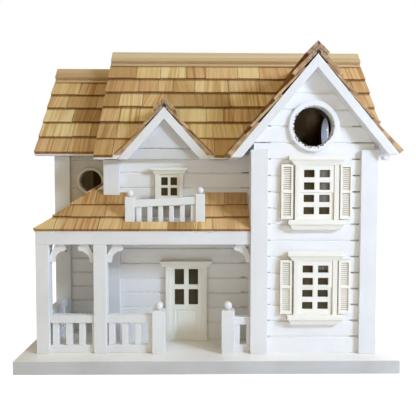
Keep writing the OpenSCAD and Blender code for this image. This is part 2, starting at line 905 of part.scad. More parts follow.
// Courses of one side of a cross gable, each running back to the main roof, then the course
// at its ridge and the narrow strip that lies flatter on top of that
module gable_courses(mid, top, reach, pitch, side, y0, exposure, cover, ridge_t, strip, seed) {
    slope_len = reach / cos(pitch);
    eave_z = top - reach * tan(pitch);
    slope = [[mid + side * reach, 0, eave_z], side * 90, pitch];
    below = ceil((slope_len - cover - shingle_lap) / exposure);
    taper = (gable_butt - gable_tip) / (exposure + shingle_lap);
    bare = slope_len - cover - (below - 1) * exposure;
    under = gable_butt - taper * bare + 2 * shingle_rest;
    crest = tail(gable_butt, exposure, gable_tip) + 2 * shingle_rest + ridge_t;
    rise = ridge_t + shingle_rest;
    module run(s, up, slip, seed) {
        y1 = main_roof_y(min(top, eave_z + up * sin(pitch))) + 6;
        course(slope, side < 0 ? -y1 : y0, side < 0 ? -y0 : y1, s, slip, seed) {
            children(0);
            children(1);
        }
    }
    for (i = [0 : below - 1])
        run(i * exposure, (i + 1) * exposure + shingle_lap, i == 0 ? 0 : shingle_slip, seed + 10 * i) {
            shingle_section(gable_butt, exposure, i == 0, gable_tip);
            main_room(0.02);
        }
    run(slope_len, BIG, 0, seed + 70) {
        ridge_shingle_section(cover, under, crest, max(shingle_rest, under - taper * cover), rise, pitch);
        main_room(shingle_top);
    }
    run(slope_len, BIG, 0, seed + 80) {
        ridge_shingle_section(strip, rise + 1.4, rise + 4.8, rise + 0.1, rise + 3.3, pitch);
        main_room(shingle_top);
    }
}

module tower_shingles() {
    color("burlywood")
        for (side = [-1, 1])
            gable_courses(tower_mid, tower_ridge + tower_deck_v, tower_reach[side < 0 ? 0 : 1],
                tower_pitch, side, tower_roof_y, tower_exposure, tower_top_course, tower_top_t,
                tower_strip, 61 + side * 5);
}

module dormer_shingles() {
    color("burlywood")
        for (side = [-1, 1])
            gable_courses(dormer_mid, dormer_top, dormer_half, dormer_pitch, side, dormer_y,
                dormer_half / cos(dormer_pitch) - dormer_top_course, dormer_top_course,
                dormer_top_t, dormer_strip, 81 + side * 5);
}

module porch_shingles() {
    front = [[0, porch_eave_y, porch_eave_z], 0, porch_pitch];
    beside = [[porch_eave_x, 0, porch_eave_z], -90, porch_pitch];
    front_len = (main_y - porch_eave_y) / cos(porch_pitch);
    side_len = (main_x - porch_eave_x) / cos(porch_pitch);
    color("burlywood") {
        for (s = [0 : porch_exposure : front_len - 4])
            intersection() {
                course(front, porch_eave_x + s * cos(porch_pitch), porch_end_x, s,
                    s == 0 ? 0 : shingle_slip, 5 + s) {
                        shingle_section(porch_butt, porch_exposure, s == 0);
                        union() {
                            porch_walls(0.3);
                            balcony_room(0.3);
                        }
                    }
                hip_side(true);
            }
        for (s = [0 : porch_exposure : side_len - 4])
            intersection() {
                course(beside, -wing_y, -porch_eave_y - s * cos(porch_pitch), s,
                    s == 0 ? 0 : shingle_slip, 9 + s) {
                        shingle_section(porch_butt, porch_exposure, s == 0);
                        porch_walls(0.3);
                    }
                hip_side(false);
            }
    }
}

// ---------- Ridge caps ----------

// Bent strip over a ridge, between two heights above the boards
module chevron(pitch, low, high, cover) {
    function at(side, s, h) = [side * (s * cos(pitch) + h * sin(pitch)), h * cos(pitch) - s * sin(pitch)];
    polygon([
        [0, high / cos(pitch)], at(1, cover, high), at(1, cover, low),
        [0, low / cos(pitch)], at(-1, cover, low), at(-1, cover, high),
    ]);
}

// The lower strip rests on the last of the courses of a slope of the given length
module ridge_cap(x0, x1, mid, ridge, length, courses, exposure) {
    bare = length - cap_lip - (courses - 1) * exposure - shingle_slip;
    low = shingle_butt - (shingle_butt - shingle_tip) * bare / (exposure + shingle_lap) + shingle_rest;
    high = low + cap_lip_t + 0.05;
    top = high + cap_t;
    centre = (top - cap_r) / cos(main_pitch);
    along_x(x0, x1) translate([mid, ridge]) chevron(main_pitch, low, low + cap_lip_t, cap_lip);
    along_x(x0, x1) translate([mid, ridge]) intersection() {
        chevron(main_pitch, high, top, cap_w);
        union() {
            translate([-BIG, -BIG]) square([2 * BIG, BIG + centre + cap_r * cos(main_pitch)]);
            translate([0, centre]) circle(r = cap_r * 1.01);
        }
    }
}

module main_ridge_cap() {
    color("burlywood") ridge_cap(main_rake_x + 1.5, main_end_x - 1.5, main_mid,
        main_ridge + deck_v, main_run_rear / cos(main_pitch), main_courses, main_exposure);
}

module wing_ridge_cap() {
    color("burlywood") ridge_cap(wing_rake_x + 1.5, main_rake_x - 0.3, wing_mid,
        wing_ridge + deck_v, wing_run_rear / cos(main_pitch), wing_courses, wing_exposure);
}

// ---------- Porch frame ----------

module porch_front_beam() {
    color("white") span([porch_x, porch_y, beam_z], [porch_end_x, porch_y + post_w, beam_z + beam_h]);
}

module porch_side_beam() {
    color("white") span([porch_x, porch_y + post_w, beam_z],
        [porch_x + post_w, wing_y - corner_t, beam_z + beam_h]);
}

module porch_posts() {
    color("white")
        for (x = [porch_x, porch_x + post_pitch])
            span([x, porch_y, base_t], [x + post_w, porch_y + post_w, beam_z]);
}

newel_y = porch_y - 2.5;

module newel_posts() {
    color("white")
        for (x = [newel_x, newel_x2])
            span([x - post_w / 2, newel_y, base_t], [x + post_w / 2, newel_y + post_w, base_t + newel_h]);
}

// A ball with a small flat where it is glued to its post
module ball(r) {
    flat = 0.4;
    difference() {
        translate([0, 0, r - flat]) sphere(r = r);
        translate([-r, -r, -r]) cube([2 * r, 2 * r, r]);
    }
}

module ball_finials() {
    post = balcony_w / 2 - balcony_post_w / 2;
    color("white") {
        for (x = [newel_x, newel_x2])
            translate([x, newel_y + post_w / 2, base_t + newel_h]) ball(newel_ball_r);
        for (side = [-1, 1])
            translate([balcony_x + side * post, balcony_y + balcony_post_w / 2,
                balcony_floor + balcony_post_h + side * balcony_rise]) ball(balcony_ball_r);
    }
}

// Balusters at a fixed pitch, cut to the length of the railing; z runs from low to high
module balusters(length, first, pitch, size, low, high) {
    for (x = [first : pitch : length - 0.5])
        span([max(x, 0), -size / 2, low], [min(x + size, length), size / 2, high]);
}

// A porch railing along X from the origin, standing on the base
module railing(length, first, drop) {
    hand = rail_top - handrail_h - drop;
    span([0, -handrail_d / 2, hand], [length, handrail_d / 2, hand + handrail_h]);
    span([0, -baluster / 2, 0], [length, baluster / 2, bottom_rail_h]);
    balusters(length, first, baluster_pitch, baluster, bottom_rail_h + glue, hand - glue);
}

module left_railing() {
    color("white") translate([porch_x + post_w, porch_mid_y, base_t]) railing(post_pitch - post_w, 2, 0);
}

module centre_railing() {
    x0 = porch_x + post_pitch + post_w;
    color("white") translate([x0, porch_mid_y, base_t]) railing(newel_x - post_w / 2 - x0, 1.2, 0);
}

module right_railing() {
    x0 = newel_x2 + post_w / 2;
    color("white") translate([x0, porch_mid_y, base_t]) railing(porch_end_x - x0, -0.6, 1.9);
}

module side_railing() {
    y0 = porch_y + post_w;
    color("white") translate([porch_mid_x, y0, base_t]) rotate([0, 0, 90])
        railing(wing_y - corner_t - y0, 3.5, 0);
}

// A sawn bracket in the corner under the beam, reaching out along +X and down
module bracket() {
    lobe = 0.23 * bracket_w;
    along_y(-bracket_t / 2, bracket_t / 2) difference() {
        union() {
            polygon([
                [0.36 * bracket_w, 0], [bracket_w - lobe, 0],
                [bracket_w - 1.44 * lobe, -1.89 * lobe], [0.26 * bracket_w, -bracket_h],
                [0, -bracket_h], [0, -0.58 * bracket_h],
            ]);
            translate([bracket_w - lobe, -lobe]) circle(r = lobe);
        }
        translate([0.84 * bracket_w, -0.9 * bracket_h]) circle(r = 0.49 * bracket_h);
    }
}

module porch_brackets() {
    color("white") {
        for (place = [[porch_x + post_w, 0], [porch_x + post_pitch, 1],
            [porch_x + post_pitch + post_w, 0], [porch_end_x, 1]])
                translate([place[0], porch_mid_y, beam_z]) mirror([place[1], 0, 0]) bracket();
        for (place = [[porch_y + post_w, 90], [wing_y - corner_t, -90]])
            translate([porch_mid_x, place[0], beam_z]) rotate([0, 0, place[1]]) bracket();
    }
}

// ---------- Balcony ----------

module balcony_floor_board() {
    color("white") span([balcony_x - balcony_w / 2, balcony_y, balcony_floor - balcony_floor_t],
        [balcony_x + balcony_w / 2, main_y, balcony_floor]);
}

module balcony_posts() {
    color("white")
        for (side = [-1, 1])
            translate([balcony_x + side * (balcony_w - balcony_post_w) / 2, balcony_y, balcony_floor])
                span([-balcony_post_w / 2, 0, 0],
                    [balcony_post_w / 2, balcony_post_w, balcony_post_h + side * balcony_rise]);
}

module balcony_railing() {
    length = balcony_w - 2 * balcony_post_w;
    deep = balcony_rail_h / 2;
    low = balcony_rail_z - balcony_rise - balcony_rail_h / 2;
    high = low + 2 * balcony_rise;
    color("white") translate([balcony_x - length / 2, balcony_y + balcony_post_w / 2, balcony_floor]) {
        along_y(-deep, deep) polygon([
            [0, low], [length, high], [length, high + balcony_rail_h], [0, low + balcony_rail_h],
        ]);
        difference() {
            balusters(length, 1.6, 10.7, balcony_baluster, 0, high);
            along_y(-deep - 1, deep + 1)
                polygon([[-1, low - glue], [length + 1, high - glue], [length + 1, BIG], [-1, BIG]]);
        }
    }
}

// ---------- Entry rings ----------

// A turned ring with its back on the XY plane
module entry_ring(bore, width) {
    outer = bore / 2 + width;
    edge = 0.3 * ring_t;
    rotate_extrude() polygon([
        [bore / 2, 0], [outer, 0], [outer, ring_t - edge], [outer - edge, ring_t],
        [bore / 2 + edge, ring_t], [bore / 2, ring_t - edge],
    ]);
}

module tower_entry_ring() {
    color("white") translate([entry_x, tower_y, entry_z]) rotate([90, 0, 0]) entry_ring(entry_d, ring_w);
}

module wing_entry_ring() {
    color("white") translate([wing_entry_x, wing_y, wing_entry_z]) rotate([90, 0, 0])
        entry_ring(wing_entry_d, wing_ring_w);
}

// ---------- Doors, windows and shutters ----------
// Each is drawn with its back on the XZ plane and its front towards -Y.

// A moulding that flares from w0 by d0 at the bottom to w1 by d1 at the top
module flare(w0, d0, w1, d1, z0, z1) {
    intersection() {
        along_y(-d0 - d1, 0) polygon([[-w0 / 2, z0], [w0 / 2, z0], [w1 / 2, z1], [-w1 / 2, z1]]);
        along_x(-w0 - w1, w0 + w1) polygon([[0, z0], [-d0, z0], [-d1, z1], [0, z1]]);
    }
}

// A flat slab with its back on the wall
module slab(w, d, z0, z1) {
    span([-w / 2, -d, z0], [w / 2, 0, z1]);
}

module crown(w, h, out, lip, foot = 2) {
    flare(w + foot, frame_t, w + 2 * out - 3, frame_t + 2.2, 0, h - lip);
    slab(w + 2 * out, frame_t + 3, h - lip, h);
}

module sill(w, h, out, lip) {
    slab(w + 2 * out, frame_t + 3.4, -lip, 0);
    flare(w + 2 * out - 8, frame_t + 0.6, w + 2 * out - 3, frame_t + 2, -h, -lip);
}

// Two jambs whose inner edges are stepped back over the given width
module jambs(w, h, jamb, step = 0) {
    for (side = [0, 1])
        mirror([side, 0, 0]) difference() {
            span([w / 2 - jamb, -frame_t, 0], [w / 2, 0, h]);
            span([w / 2 - jamb - 1, -frame_t - 1, -1], [w / 2 - jamb + step, 1 - frame_t, h + 1]);
        }
}

// A sash from z0 to z1 with two columns and the given rows of panes
module sash(w, z0, z1, t, stile, bar, low, high, rows) {
    pane_w = (w - 2 * stile - bar) / 2;
    pane_h = (z1 - z0 - low - high - bar * (rows - 1)) / rows;
    difference() {
        span([-w / 2, -t, z0], [w / 2, -pane_t, z1]);
        for (row = [0 : rows - 1], side = [0, 1])
            mirror([side, 0, 0]) translate([bar / 2, -t - 1, z0 + low + row * (pane_h + bar)])
                cube([pane_w, t + 2, pane_h]);
    }
}

module glass(w, z0, z1) {
    span([-w / 2, -pane_t, z0], [w / 2, 0, z1]);
}

// What follows is drawn once for each of the tower's two windows
module at_windows(up = 0) {
    for (place = [[upper_window_off, upper_window_z], [lower_window_off, lower_window_z]])
        translate([tower_mid + place[0], tower_y, place[1] + up]) children();
}

window_inner = window_w - 2 * jamb_w;

module tower_window_frames() {
    color("ivory") at_windows() {
        jambs(window_w, window_h, jamb_w);
        translate([0, 0, window_h]) crown(window_w, 8.8, 6.4, 4);
        sill(window_w, 9.4, 6.6, 4.4);
    }
}

module tower_window_sashes() {
    meet = window_h / 2;
    color("ivory") at_windows() {
        sash(window_inner, 0, meet, frame_t - 1.6, 4.1, bar_w - 0.3, 5.3, 2.3, 2);
        sash(window_inner, meet, window_h, frame_t - 0.7, 4.1, bar_w - 0.3, 2.6, 4.7, 2);
    }
}

module at_attic_window() {
    translate([attic_window_x, main_y, attic_window_z]) children();
}

attic_jamb = 4.4;

module attic_window_frame() {
    color("ivory") at_attic_window() {
        jambs(attic_window_w, attic_window_h, attic_jamb);
        translate([0, 0, attic_window_h]) crown(attic_window_w, 7, 5.1, 2.4);
        slab(attic_window_w + 4, frame_t + 1.5, -2.5, 0);
    }
}

module attic_window_sash() {
    color("ivory") at_attic_window()
        sash(attic_window_w - 2 * attic_jamb, 0, attic_window_h, frame_t - 1.4, 1.8, 2.8, 7.9, 2.8, 2);
}

module at_door() {
    translate([door_x, main_y, base_t]) children();
}

door_jamb = 7.5;
door_inner = door_w - 2 * door_jamb;

module door_casing() {
    color("ivory") at_door() {
        jambs(door_w, door_h, door_jamb, 2.6);
        translate([0, 0, door_h]) crown(door_w, 6.4, 5.4, 2.4, 7.4);
    }
}

module door_leaf() {
    lock_rail = 37.5;
    panel = [22.6, 1.2, 28.6];
    color("ivory") at_door() difference() {
        union() {
            span([-door_inner / 2, frame_t * -0.75, 0], [door_inner / 2, 0, lock_rail]);
            sash(door_inner, lock_rail, door_h, frame_t * 0.75, 2, 4.9, 1.2, 2.2, 2);
        }
        difference() {
            translate([-panel[0] / 2, frame_t * -0.75 - 0.2, 4.6]) cube(panel);
            translate([0, 0, 4.6]) flare(panel[0] - 4, 2.6, panel[0] - 4, 2.6, 2, panel[2] - 2);
        }
    }
}

module glazing() {
    color("black") {
        at_windows() glass(window_inner, 0, window_h);
        at_attic_window() glass(attic_window_w - 2 * attic_jamb, 0, attic_window_h);
        at_door() glass(door_inner, 37.5, door_h);
    }
}

// A shutter with two fields of louvres, drawn from its lower left corner
module shutter() {
    stile = 2;
    rail = 2.6;
    field = (window_h - 3 * rail) / 2;
    pitch = field / slats;
    back = 0.8;
    difference() {
        span([0, -shutter_t, 0], [shutter_w, 0, window_h]);
        for (z = [rail, 2 * rail + field])
            span([stile, -shutter_t - 1, z], [shutter_w - stile, -back, z + field]);
    }
    for (z = [rail, 2 * rail + field])
        translate([0, 0, z]) along_x(stile, shutter_w - stile) polygon(concat(
            [[-back, 0]],
            [for (i = [0 : slats - 1])
                each [[-shutter_t + 0.4, i * pitch], [-back - 0.4, (i + 0.9) * pitch]]],
            [[-back, field]]));
}

module shutters() {
    off = window_w / 2 + shutter_gap;
    color("ivory") at_windows(0.6)
        for (side = [-1, 1])
            translate([side < 0 ? -off - shutter_w : off, 0, 0]) shutter();
}

// ---------- Clean-outs ----------

module cleanout_cover(x, z) {
    color("white") translate([x, back_y + cover_gap, z]) rotate([-90, 0, 0]) difference() {
        union() {
            cylinder(r = cover_r, h = cover_t - 0.8);
            translate([0, 0, cover_t - 0.8]) cylinder(r1 = cover_r, r2 = cover_r - 0.8, h = 0.8);
        }
        translate([0, -pivot_up, -1]) cylinder(d = screw_d + 0.3, h = cover_t + 2);
    }
}

module tower_cleanout_cover() {
    cleanout_cover(tower_cleanout_x, tower_cleanout_z);
}

module main_cleanout_cover() {
    cleanout_cover(main_cleanout_x, main_cleanout_z);
}

module cleanout_screws() {
    head = back_y + cover_gap + cover_t + 0.2;
    color("silver")
        for (hole = [[tower_cleanout_x, tower_cleanout_z], [main_cleanout_x, main_cleanout_z]])
            translate([hole[0], 0, hole[1] + pivot_up]) difference() {
                union() {
                    translate([0, back_y - screw_reach, 0]) rotate([-90, 0, 0])
                        cylinder(d = screw_d, h = head - back_y + screw_reach + 1);
                    translate([0, head, 0]) rotate([-90, 0, 0])
                        cylinder(d1 = 2.2 * screw_d, d2 = 1.8 * screw_d, h = 2);
                }
                span([-screw_d, head + 1.2, -0.4], [screw_d, head + 3, 0.4]);
            }
}

base_board();
tower_front_wall();
tower_left_wall();
right_wall();
main_front_wall();
main_left_wall();
wing_front_wall();
wing_left_wall();
back_wall();
tower_nest_floor();
nest_floor_cleats();
dormer_face();
tower_corner_boards();
main_corner_boards();
wing_corner_boards();
rear_corner_boards();
main_front_deck();
main_back_deck();
wing_front_deck();
wing_back_deck();
tower_left_deck();
tower_right_deck();
dormer_left_deck();
dormer_right_deck();
porch_front_deck();
porch_side_deck();
main_front_shingles();
main_back_shingles();
wing_shingles();
tower_shingles();
dormer_shingles();
porch_shingles();
main_ridge_cap();
wing_ridge_cap();
porch_front_beam();
porch_side_beam();
porch_posts();
newel_posts();
ball_finials();
left_railing();
centre_railing();
right_railing();
side_railing();
porch_brackets();
balcony_floor_board();
balcony_posts();
balcony_railing();
tower_entry_ring();
wing_entry_ring();
door_casing();
door_leaf();
attic_window_frame();
attic_window_sash();
tower_window_frames();
tower_window_sashes();
glazing();
shutters();
tower_cleanout_cover();
main_cleanout_cover();
cleanout_screws();
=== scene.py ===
import json
import math
import random

import bmesh
import bpy
from mathutils import Matrix, Vector


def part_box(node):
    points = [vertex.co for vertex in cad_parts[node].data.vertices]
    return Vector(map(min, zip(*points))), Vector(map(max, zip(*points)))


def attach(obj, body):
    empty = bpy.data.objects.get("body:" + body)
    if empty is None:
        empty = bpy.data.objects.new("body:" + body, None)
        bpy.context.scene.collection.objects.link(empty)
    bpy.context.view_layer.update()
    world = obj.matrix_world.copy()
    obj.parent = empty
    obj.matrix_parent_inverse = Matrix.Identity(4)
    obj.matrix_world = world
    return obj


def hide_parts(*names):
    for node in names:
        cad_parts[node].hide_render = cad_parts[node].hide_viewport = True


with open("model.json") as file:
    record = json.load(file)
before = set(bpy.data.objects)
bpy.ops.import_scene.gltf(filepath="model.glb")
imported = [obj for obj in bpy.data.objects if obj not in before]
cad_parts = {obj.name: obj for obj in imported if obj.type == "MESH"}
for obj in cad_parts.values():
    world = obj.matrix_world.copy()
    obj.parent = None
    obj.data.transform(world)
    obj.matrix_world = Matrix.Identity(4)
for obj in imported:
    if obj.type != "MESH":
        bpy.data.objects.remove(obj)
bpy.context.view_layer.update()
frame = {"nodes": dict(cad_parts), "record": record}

MM = 0.001
NODES = frame["nodes"]
BODY_OF = {
    node: body
    for body, nodes in frame["record"]["behaviour"]["bodies"].items()
    for node in nodes
}

# ---------------------------------------------------------------- camera

LENS_MM = 44.434
SENSOR_MM = 36.0
CAMERA_AT = Vector((-7.04, -614.52, 180.26)) * MM
PITCH, YAW, ROLL = (math.radians(a) for a in (2.833, 0.879, 0.100))


def make_camera():
    """A camera in front of the porch, level but for a slight pitch, yaw and roll."""
    forward = Vector((math.sin(YAW) * math.cos(PITCH), math.cos(YAW) * math.cos(PITCH), -math.sin(PITCH)))
    level = Vector((math.cos(YAW), -math.sin(YAW), 0.0))
    up = level.cross(forward)
    right = level * math.cos(ROLL) + up * math.sin(ROLL)
    top = up * math.cos(ROLL) - level * math.sin(ROLL)
    data = bpy.data.cameras.new("camera")
    data.lens = LENS_MM
    data.sensor_width = SENSOR_MM
    data.clip_start = 0.02
    data.clip_end = 20.0
    camera = bpy.data.objects.new("camera", data)
    bpy.context.scene.collection.objects.link(camera)
    turn = Matrix((right, top, -forward)).transposed().to_4x4()
    camera.matrix_world = Matrix.Translation(CAMERA_AT) @ turn
    bpy.context.scene.camera = camera


make_camera()

# ---------------------------------------------------------------- materials


class Finish:
    """A node material built from small steps."""

    def __init__(self, name, roughness):
        self.material = bpy.data.materials.new(name)
        self.material.use_nodes = True
        self.tree = self.material.node_tree
        self.shader = self.tree.nodes["Principled BSDF"]
        self.shader.inputs["Roughness"].default_value = roughness

    def node(self, kind, **settings):
        made = self.tree.nodes.new(kind)
        for key, value in settings.items():
            setattr(made, key, value)
        return made

    def link(self, source, target):
        self.tree.links.new(source, target)
        return source

    def object_coords(self, scale, shift=(0, 0, 0)):
        coords = self.node("ShaderNodeTexCoord")
        mapping = self.node("ShaderNodeMapping")
        mapping.inputs["Scale"].default_value = scale
        mapping.inputs["Location"].default_value = shift
        self.link(coords.outputs["Object"], mapping.inputs["Vector"])
        return mapping.outputs["Vector"]

    def place(self, shift=(0, 0, 0)):
        """The object coordinates one by one, moved by a shift."""
        made = self.node("ShaderNodeSeparateXYZ")
        self.link(self.object_coords((1, 1, 1), shift), made.inputs[0])
        return made.outputs

    def distance(self, scale, shift):
        """The length of the object coordinates, scaled and then moved by a shift."""
        made = self.node("ShaderNodeVectorMath", operation="LENGTH")
        self.link(self.object_coords(scale, shift), made.inputs[0])
        return made.outputs["Value"]

    def attribute(self, name):
        return self.node("ShaderNodeAttribute", attribute_name=name)

    def noise(self, vector, detail, roughness=0.5, distortion=0.0):
        made = self.node("ShaderNodeTexNoise")
        made.inputs["Scale"].default_value = 1.0
        made.inputs["Detail"].default_value = detail
        made.inputs["Roughness"].default_value = roughness
        made.inputs["Distortion"].default_value = distortion
        self.link(vector, made.inputs["Vector"])
        return made.outputs["Fac"]

    def ramp(self, fac, stops):
        made = self.node("ShaderNodeValToRGB")
        elements = made.color_ramp.elements
        while len(elements) < len(stops):
            elements.new(0.5)
        for element, (place, colour) in zip(elements, stops):
            element.position = place
            element.color = (*colour, 1.0)
        self.link(fac, made.inputs["Fac"])
        return made.outputs["Color"]

    def fade(self, fac, start, end):
        """Black below start, white above end."""
        return self.ramp(fac, [(start, (0, 0, 0)), (end, (1, 1, 1))])

    def mix(self, fac, a, b, blend="MIX"):
        made = self.node("ShaderNodeMix", data_type="RGBA", blend_type=blend)
        for value, place in ((fac, 0), (a, 6), (b, 7)):
            socket = made.inputs[place]
            if isinstance(value, bpy.types.NodeSocket):
                self.link(value, socket)
            elif place == 0:
                socket.default_value = value
            else:
                socket.default_value = (*value, 1.0)
        return made.outputs[2]

    def math(self, kind, a, b=0.0, clamp=False):
        made = self.node("ShaderNodeMath", operation=kind, use_clamp=clamp)
        for value, socket in ((a, made.inputs[0]), (b, made.inputs[1])):
            if isinstance(value, bpy.types.NodeSocket):
                self.link(value, socket)
            else:
                socket.default_value = value
        return made.outputs[0]

    def colour(self, source):
        self.link(source, self.shader.inputs["Base Color"])

    def bump(self, height, strength, depth):
        made = self.node("ShaderNodeBump")
        made.inputs["Strength"].default_value = strength
        made.inputs["Distance"].default_value = depth
        self.link(height, made.inputs["Height"])
        self.link(made.outputs["Normal"], self.shader.inputs["Normal"])


# The painted shade reaches this far past its patch, and its strength falls outwards by this much per metre
SHADOW_SPREAD, SHADOW_FALL = 2 * MM, 160


def painted(name, colour, shade, grain, roughness=0.5, painted_shadow=None):
    """Brushed paint over wood: faint mottling, brush marks along the board and a soft gloss.

    The last argument is painted shade, a soft-edged patch on a front wall: its two corners and how much
    darker it makes the paint."""
    finish = Finish(name, roughness)
    mottle = finish.noise(finish.object_coords((26, 26, 26)), detail=4.0)
    marks = finish.noise(finish.object_coords(grain), detail=4.0, roughness=0.6)
    tone = finish.mix(finish.math("MULTIPLY", marks, 0.55), colour, shade)
    tone = finish.mix(finish.fade(mottle, 0.35, 0.75), tone, tuple(c * 0.96 for c in shade))
    if painted_shadow:
        low, high, darker = painted_shadow
        place = finish.place()
        patch = 1.0
        for axis, number in (("X", 0), ("Z", 2)):
            middle, half = (low[number] + high[number]) / 2, (high[number] - low[number]) / 2
            away = finish.math("ABSOLUTE", finish.math("SUBTRACT", place[axis], middle))
            inside = finish.math("SUBTRACT", half + SHADOW_SPREAD, away)
            patch = finish.math("MULTIPLY", finish.math("MULTIPLY", inside, SHADOW_FALL, clamp=True), patch)
        # The patch darkens the paint: painted shade
        tone = finish.mix(patch, tone, finish.mix(1.0, tone, darker, "MULTIPLY"))
    finish.colour(tone)
    finish.bump(marks, 0.25, 0.4 * MM)
    return finish.material


def chipped_ring(centre, radius):
    """White paint that has flaked off around a hole, most on its left and below."""
    finish = Finish("chipped_ring", 0.5)
    x, z = centre
    flakes = finish.noise(finish.object_coords((420, 420, 420)), detail=4.0, roughness=0.7)
    place = finish.place((-x, 0, -z))
    lean = finish.math("MULTIPLY", finish.math("ADD", place["X"], place["Z"]), 0.05)
    from_centre = finish.distance((1, 0, 1), (-x, 0, -z))
    reach = finish.math("SUBTRACT", finish.math("ADD", from_centre, lean), radius)
    depth = finish.math("MULTIPLY", finish.math("SUBTRACT", flakes, 0.48), 0.011)
    chip = finish.math("LESS_THAN", reach, depth)
    finish.colour(finish.mix(chip, (0.83, 0.84, 0.86), (0.045, 0.03, 0.015)))
    finish.bump(flakes, 0.25, 0.3 * MM)
    return finish.material


def siding_joint(name, low, high, middle, broken, left, right, paint=(0.93, 0.93, 0.94)):
    """A joint between two siding boards: brown beyond left and right from dirt and painted shade, and faint
    in between, where its white is a little lighter than the wall's, a painted highlight against the groove's
    shade.

    Left and right count from -1 at the wall's low end to 1 at its high end."""
    finish = Finish(name, 0.7)
    from_middle = finish.math("SUBTRACT", finish.place()["X"], (low + high) / 2)
    share = finish.math("DIVIDE", from_middle, (high - low) / 2)
    before = finish.math("MULTIPLY", finish.math("SUBTRACT", left, share), 25, clamp=True)
    beyond = finish.math("MULTIPLY", finish.math("SUBTRACT", share, right), 25, clamp=True)
    ends = finish.math("MAXIMUM", finish.math("MAXIMUM", before, beyond), middle)
    dirt = finish.noise(finish.object_coords((240, 240, 700)), detail=3.0, roughness=0.6)
    rough = finish.ramp(dirt, [(0.42, (broken,) * 3), (0.58, (1, 1, 1))])
    finish.colour(finish.mix(finish.math("MULTIPLY", ends, rough), paint, (0.20, 0.14, 0.10)))
    return finish.material


def end_grain(name, apex):
    """The weathered front ends of the gable shingles, near black at the apex: painted shade for the gap
    there.
    """
    finish = Finish(name, 0.85)
    x, z = apex
    rough = finish.noise(finish.object_coords((520, 520, 520)), detail=5.0, roughness=0.7)
    cracks = finish.noise(finish.object_coords((900, 60, 300)), detail=3.0, roughness=0.6)
    wood = finish.ramp(rough, [
        (0.30, (0.16, 0.10, 0.06)), (0.5, (0.42, 0.28, 0.18)), (0.70, (0.60, 0.45, 0.31)),
    ])
    wood = finish.mix(finish.ramp(cracks, [(0.36, (1, 1, 1)), (0.44, (0, 0, 0))]), wood, (0.05, 0.03, 0.02))
    from_apex = finish.distance((1, 0, 0.7), (-x, 0, -0.7 * z))
    along = finish.noise(finish.object_coords((120, 30, 120)), detail=2.0)
    board = finish.ramp(along, [(0.40, (0.36, 0.21, 0.11)), (0.60, (0.60, 0.40, 0.22))])
    away = finish.fade(finish.math("MULTIPLY", from_apex, 40), 0.28, 0.5)
    wood = finish.mix(away, wood, board)
    # Painted shade: near black round the apex
    apex_shadow = finish.math("LESS_THAN", from_apex, finish.math("MULTIPLY", rough, 4 * MM))
    finish.colour(finish.mix(apex_shadow, wood, (0.012, 0.008, 0.006)))
    finish.bump(rough, 0.6, 0.6 * MM)
    return finish.material


def worn_edge(name, paint, wood, amount):
    """The rounded edge of a painted board, where some wood shows through."""
    finish = Finish(name, 0.55)
    patches = finish.noise(finish.object_coords((160, 160, 160)), detail=5.0, roughness=0.65)
    bare = finish.fade(patches, 0.62 - amount, 0.70 - amount)
    finish.colour(finish.mix(bare, paint, wood))
    finish.bump(patches, 0.3, 0.3 * MM)
    return finish.material


def sawn_shingle(name, cut_end_shaded):
    """Sawn cedar: every shingle has its own tint and its own vertical grain."""
    finish = Finish(name, 0.72)
    grain = finish.attribute("grain").outputs["Vector"]
    tint = finish.attribute("tint").outputs["Fac"]
    figure = finish.attribute("figure").outputs["Fac"]
    rise = finish.attribute("rise").outputs["Fac"]

    def stretched(scale):
        mapping = finish.node("ShaderNodeMapping")
        mapping.inputs["Scale"].default_value = scale
        finish.link(grain, mapping.inputs["Vector"])
        return mapping.outputs["Vector"]

    base = finish.ramp(tint, [
        (0.00, (0.46, 0.27, 0.09)), (0.18, (0.58, 0.36, 0.145)), (0.36, (0.66, 0.41, 0.19)),
        (0.56, (0.70, 0.455, 0.225)), (0.74, (0.77, 0.565, 0.26)), (1.00, (0.83, 0.655, 0.345)),
    ])
    fine = finish.noise(stretched((900, 14, 1)), detail=2.0, roughness=0.45)
    bands = finish.noise(stretched((300, 7, 1)), detail=2.0, roughness=0.5, distortion=0.25)
    wide = finish.noise(stretched((70, 12, 1)), detail=2.0)
    streaks = finish.fade(bands, 0.46, 0.58)
    dark = finish.mix(1.0, base, (0.66, 0.50, 0.34), "MULTIPLY")
    pale = finish.mix(0.45, base, (0.88, 0.76, 0.47))
    wood = finish.mix(finish.math("MULTIPLY", streaks, figure), base, dark)
    glow = finish.fade(wide, 0.50, 0.68)
    wood = finish.mix(finish.math("MULTIPLY", glow, finish.math("MULTIPLY", figure, 0.8)), wood, pale)
    lines = finish.ramp(fine, [(0.35, (0.86, 0.83, 0.78)), (0.6, (1, 1, 1))])
    wood = finish.mix(0.8, wood, lines, "MULTIPLY")
    # Cut ends are darker end grain, and are painted darker still: painted shade on the butts
    if cut_end_shaded:
        wood = finish.mix(1.0, wood, (0.58, 0.44, 0.27), "MULTIPLY")
    else:
        # Painted shadow: just below the butts of the next course the wood turns dark brown
        butt_shadow = finish.fade(rise, 0.90, 0.95)
        wood = finish.mix(finish.math("MULTIPLY", butt_shadow, 0.6), wood, (0.10, 0.055, 0.02))
    finish.colour(wood)
    finish.bump(finish.math("ADD", fine, bands), 0.35, 0.4 * MM)
    return finish.material


